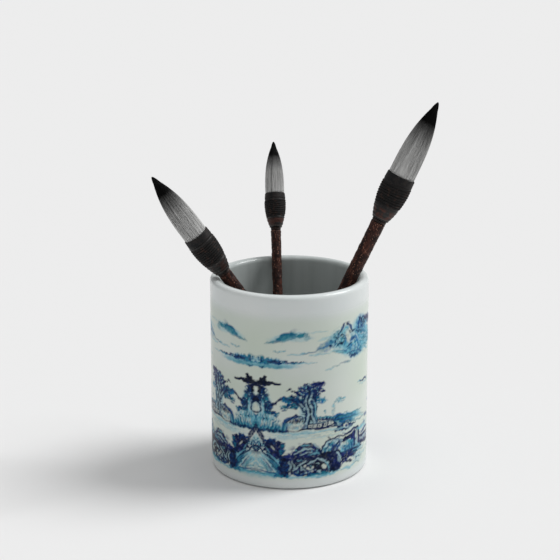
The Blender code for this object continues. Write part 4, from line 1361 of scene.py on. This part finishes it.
def make_bell(brush, material):
    """The bell's bare cone below the winding, and its core, which fills out where the
    cord's ends leave a gap."""
    low, high = brush.bell_low, brush.wind_low
    cone = np.linspace(low, high, 34)
    radii = bell_outer(brush, cone)
    radii[0] -= 0.2 * MM
    under = np.linspace(high + 0.1 * MM, brush.bell_top, 28)
    pitch = (brush.wind_high - brush.wind_low) / WRAPS
    from_ends = np.minimum(under - brush.wind_low, brush.wind_high - under)
    inset = np.where(from_ends < 0.8 * pitch, 0.28 * MM, 0.55 * MM)
    inset = np.where(under < brush.collar_low - 0.1 * MM, inset, 1.15 * MM)
    under_radii = bell_outer(brush, under) - inset
    profile_z = np.concatenate([cone, under])
    profile_r = np.concatenate([radii, under_radii])
    points = ring_grid(profile_r, profile_z, BELL_COLUMNS)
    height = points[..., 2]
    push = knobbly(brush, height, BELL_COLUMNS, 1.6 * MM, 0.12 * MM)
    steps = 0.10 * MM * np.cos(math.tau * (height - low) / (2.3 * MM))
    points[..., :2] *= (1.0 + (push + steps - 0.10 * MM) / profile_r[:, None])[..., None]
    brush.place("bell_body", *turned_parts(points), material, "bell_lacquer", "bell")


def swept_tube(turn, r, z, size, sides):
    """Points of a tube along a path round the axis, given by its angles, radii and heights.
    Its own radius, size, may vary along it and round it."""
    outward = np.stack([np.cos(turn), np.sin(turn), np.zeros(len(turn))], -1)
    path = np.stack([r * np.cos(turn), r * np.sin(turn), z], -1)
    tangents = np.gradient(path, axis=0)
    tangents /= np.linalg.norm(tangents, axis=1)[:, None]
    normals = outward - (outward * tangents).sum(1)[:, None] * tangents
    normals /= np.linalg.norm(normals, axis=1)[:, None]
    sideways = np.cross(tangents, normals)
    angles = ring_angles(sides)
    size = np.broadcast_to(size, (len(path), sides))
    points = (path[:, None, :] + size[..., None] * (
        np.cos(angles)[None, :, None] * normals[:, None, :]
        + np.sin(angles)[None, :, None] * sideways[:, None, :]))
    return np.flip(points, axis=1)


def cord_course(low, high, turns, steps):
    """Pitch of a cord that fills a height with its turns, and its share of the way, angle
    and height at each of its steps, given per turn."""
    pitch = (high - low) / turns
    share = np.linspace(0.0, 1.0, steps * (turns - 1))
    z = low + pitch / 2 + share * (turns - 1) * pitch
    return pitch, share, share * (turns - 1) * math.tau, z


def make_winding(brush, material):
    """A two-ply cord wound flat and tight round the bell's waist."""
    pitch, share, turn, z = cord_course(brush.wind_low, brush.wind_high, WRAPS, CORD_STEPS)
    thick, wide = 0.34 * pitch, 0.485 * pitch
    z = z + 0.05 * pitch * (np.sin(3 * turn + 2 * math.pi * share) + 0.6 * np.sin(5.4 * turn))
    uneven = 0.10 * MM * (lattice_noise(brush.rng, share * 60, share * 0) - 0.5)
    r = bell_outer(brush, z) - thick - 0.05 * MM + uneven
    plies = CORD_TWISTS * math.tau * (WRAPS - 1) / len(share)
    index, angle = np.arange(len(share))[:, None], ring_angles(CORD_SIDES)
    ply = 0.90 + 0.10 * np.abs(np.cos(angle - index * plies))
    size = ply * thick * wide / np.hypot(wide * np.cos(angle), thick * np.sin(angle))
    points = swept_tube(turn, r, z, size, CORD_SIDES)
    brush.place("cord_wraps", *turned_parts(points), material, "cord", "winding")


def make_collar(brush, material):
    """The collar at the bell's mouth, with shallow ribs."""
    outer = brush.collar_radius - 0.2 * MM
    thick = brush.collar_radius * 0.13
    low, high = brush.wind_high + 0.06 * MM, brush.mouth
    outline = [(outer - 0.15 * MM, low), (outer, low + 0.3 * MM),
               (outer + 0.08 * MM, low + 0.8 * MM)]
    outline += [(outer - 0.01 * MM * i + 0.05 * MM * math.cos(math.pi * i / 2), z) for i, z in
                enumerate(np.linspace(low + 1.2 * MM, high - 0.9 * MM, 17))]
    outline += arc((outer - 0.75 * MM, high - 0.6 * MM), 0.6 * MM, 0, 90, 5)
    outline += [(outer - thick, high - 0.2 * MM), (outer - thick, low)]
    brush.place("mouth_collar", *closed_ring(outline, BELL_COLUMNS), material,
                "collar_lacquer", "collar")


HAIR_COLUMNS = 360
HAIR_ROWS = 64
STRANDS = 420
STRAND_STEPS = 26
STRAND_SIDES = 4
STRAND_RADIUS = 0.075 * MM


def make_hair(brush, material):
    """The outer hair: a grooved body with separate fine strands lying on it."""
    rng = brush.rng
    inside = (brush.root + 0.2 * MM, brush.collar_low, brush.mouth)
    share = np.linspace(0.0, 1.0, HAIR_ROWS) ** 0.8
    share[-1] = 0.9985
    heights = brush.mouth + (brush.tip - brush.mouth) * share
    outer = tuft_outer(brush, share) - 0.16 * MM * smoothstep(1.0, 0.88, share)
    outer += 0.36 * MM * smoothstep(1.0, 0.985, share) * smoothstep(0.84, 0.96, share)
    mouth_inner = brush.collar_radius * 0.84
    radii = np.concatenate([[brush.bind_radius * 0.74, brush.collar_radius * 0.70,
                             mouth_inner - 0.2 * MM], outer[1:]])
    z = np.concatenate([inside, heights[1:]])
    radii = np.maximum(radii, 0.10 * MM)
    points = ring_grid(radii, z, HAIR_COLUMNS)
    turn = ring_angles(HAIR_COLUMNS) / math.tau
    along = np.clip((z - brush.mouth) / (brush.tip - brush.mouth), 0, 1)
    groove = np.zeros((len(z), HAIR_COLUMNS))
    for cells, depth in ((34, 0.34), (90, 0.26)):
        drift = 0.5 * np.sin(along * 2.2 + cells)[:, None]
        value = lattice_noise(rng, turn * cells + drift, along[:, None] * 2.0, wrap=cells)
        groove += (value - 0.6) * depth * MM
    grow = 1.0 + np.minimum(groove, 0.12 * MM) * smoothstep(0.0, 0.08, along)[:, None] / (
        np.maximum(radii, 1.2 * MM)[:, None])
    points[..., :2] *= grow[..., None]
    body_vertices, faces = turned_parts(points)
    lines = lattice_noise(rng, turn[None, :] * 120, along[:, None] * 1.5, wrap=120)
    tones = [*lines.ravel(), 0.5, 0.5]
    alongs = [*np.repeat(along, HAIR_COLUMNS), 0.0, 1.0]

    vertices = body_vertices.tolist()
    for k in range(STRANDS):
        angle = (k + rng.uniform(0, 1)) * math.tau / STRANDS
        start = -0.02 if rng.random() < 0.7 else rng.uniform(0.0, 0.4)
        end = rng.uniform(0.80, 0.99)
        t = np.linspace(start, end, STRAND_STEPS)
        sway = angle + 0.05 * np.sin(rng.uniform(0, math.tau) + t * rng.uniform(2, 5))
        lift = rng.uniform(-0.05, 0.12) * MM * np.sin(math.pi * np.clip(t, 0, 1))
        r = tuft_outer(brush, np.clip(t, 0, 1)) - 0.10 * MM + lift
        r = np.where(t < 0, r - 0.35 * MM, r)
        width = STRAND_RADIUS * np.clip((end - t) * 9, 0.25, 1.0)
        tube = swept_tube(sway, r, brush.mouth + (brush.tip - brush.mouth) * t, width[:, None],
                          STRAND_SIDES)
        first = len(vertices)
        vertices += tube.reshape(-1, 3).tolist()
        faces += grid_faces(STRAND_STEPS, STRAND_SIDES, first)
        faces.append(list(range(first, first + STRAND_SIDES))[::-1])
        faces.append(list(range(len(vertices) - STRAND_SIDES, len(vertices))))
        tones += [rng.uniform(0.1, 1.0)] * (STRAND_STEPS * STRAND_SIDES)
        alongs += np.repeat(np.clip(t, 0, 1), STRAND_SIDES).tolist()

    hair = brush.place("tuft_hair", vertices, faces, material, "hair", "tuft_mantle")
    put_attribute(hair, "strand", tones)
    put_attribute(hair, "along", alongs)


def make_binding(brush, material):
    """Fine thread round the hair's root, hidden in the bell."""
    pitch, _, turn, z = cord_course(brush.bind_low, brush.bind_high, THREAD_TURNS,
                                    THREAD_STEPS)
    r = np.full(len(turn), brush.bind_radius - pitch * 0.5)
    points = swept_tube(turn, r, z, pitch * 0.46, THREAD_SIDES)
    brush.place("thread_turns", *turned_parts(points), material, "thread", "root_binding")


def make_brushes():
    wood = wood_material()
    cord = cord_material()
    hair = hair_material("tuft_hair", (0.76, 0.76, 0.75), (0.43, 0.43, 0.425),
                         (0.003, 0.003, 0.003), 0.46, 0.78)
    horn = two_tone_material("black_horn", (1.0, 1.0, 0.2), (500.0, 4.0, 0.5, 0.8), (0.5, 0.75),
                             ((0.012, 0.010, 0.010), (0.090, 0.065, 0.050)), (0.22, 0.38),
                             (0.2, 0.0001))
    thread = two_tone_material("binding_thread", (1.0, 1.0, 1.0), (3000.0, 3.0, 0.7),
                               (0.35, 0.7), ((0.58, 0.50, 0.37), (0.40, 0.32, 0.21)),
                               (0.7, 0.9), (0.6, 0.0001))
    resin = two_tone_material("root_resin", (1.0, 1.0, 1.0), (500.0, 3.0, 0.5, 1.5),
                              (0.35, 0.65), ((0.36, 0.20, 0.06), (0.16, 0.075, 0.02)),
                              (0.2, 0.4), (0.3, 0.0002))
    beads = lacquer_material("neck_lacquer", (0.012, 0.008, 0.007), (0.040, 0.022, 0.018),
                             0.4, 0.6, 0.3)
    collar = lacquer_material("collar_lacquer", (0.006, 0.007, 0.008), (0.017, 0.014, 0.013),
                              0.5, 0.7, 0.2)
    for side, wear in (("left", 0.35), ("centre", 0.8), ("right", 0.9)):
        brush = BrushFrame(side)
        bell = bell_material(side + "_bell_lacquer", brush.bell_low, brush.mouth, wear)
        make_handle(brush, wood)
        make_cap(brush, horn)
        make_ring(brush, beads)
        make_bell(brush, bell)
        make_winding(brush, cord)
        make_collar(brush, collar)
        make_hair(brush, hair)
        make_binding(brush, thread)
        for name, material in (("root_resin", resin), ("tuft_core", hair)):
            kept = nodes[brush.node(name)]
            kept.data.materials.clear()
            kept.data.materials.append(material)


# ---------------------------------------------------------------- studio

FLOOR_COLOUR = (0.80, 0.80, 0.80)
FLOOR_REACH = 7.0
FLOOR_CELLS = 14
BACKGROUND = 0.839                # what the camera sees past the floor
AMBIENT = 0.30                    # soft light from all round
KEY_DIRECTION = (0.85, 0.215, 1.0)
KEY_STRENGTH = 2.15
KEY_ANGLE = 28.0                  # degrees
TOP_DIRECTION = (0.0, 0.0, 1.0)
TOP_STRENGTH = 0.76
TOP_ANGLE = 60.0


def make_floor():
    cells = FLOOR_CELLS
    steps = np.linspace(-FLOOR_REACH, FLOOR_REACH, cells + 1)
    vertices = [(x, y, 0.0) for y in steps for x in steps]
    faces = [(j * (cells + 1) + i, j * (cells + 1) + i + 1, (j + 1) * (cells + 1) + i + 1,
              (j + 1) * (cells + 1) + i) for j in range(cells) for i in range(cells)]
    floor = new_object("studio_floor", vertices, faces, smooth=False)
    material, _, shader = new_material("studio_paper")
    shader.inputs["Base Color"].default_value = (*FLOOR_COLOUR, 1.0)
    shader.inputs["Roughness"].default_value = 0.9
    shader.inputs["Specular IOR Level"].default_value = 0.0
    floor.data.materials.append(material)


def make_world():
    world = bpy.data.worlds.new("studio")
    bpy.context.scene.world = world
    world.use_nodes = True
    tree = world.node_tree
    background = tree.nodes["Background"]
    background.inputs["Color"].default_value = (1.0, 1.0, 1.0, 1.0)
    seen = add_node(tree, "LightPath").outputs["Is Camera Ray"]
    level = remap(tree, seen, 0.0, 1.0, AMBIENT, BACKGROUND)
    tree.links.new(level, background.inputs["Strength"])


def make_sun(name, direction, strength, angle):
    light = bpy.data.lights.new(name, "SUN")
    light.energy = strength
    light.angle = math.radians(angle)
    obj = bpy.data.objects.new(name, light)
    obj.rotation_mode = "QUATERNION"
    obj.rotation_quaternion = Vector(direction).to_track_quat("Z", "Y")
    bpy.context.scene.collection.objects.link(obj)


CAMERA_PLACE = (0.0, -0.96018, 0.39258)
CAMERA_PITCH = 15.772              # degrees below level
CAMERA_YAW = 0.354                 # degrees to the left
CAMERA_LENS = 101.77


def make_camera():
    data = bpy.data.cameras.new("camera")
    data.lens = CAMERA_LENS
    data.sensor_width = 36.0
    camera = bpy.data.objects.new("camera", data)
    camera.location = CAMERA_PLACE
    camera.rotation_euler = (math.radians(90 - CAMERA_PITCH), 0.0, math.radians(CAMERA_YAW))
    bpy.context.scene.collection.objects.link(camera)
    bpy.context.scene.camera = camera


make_camera()
make_world()
make_sun("key_light", KEY_DIRECTION, KEY_STRENGTH, KEY_ANGLE)
make_sun("top_light", TOP_DIRECTION, TOP_STRENGTH, TOP_ANGLE)
make_floor()
bpy.context.scene.view_settings.view_transform = "Standard"
make_pot()
make_brushes()
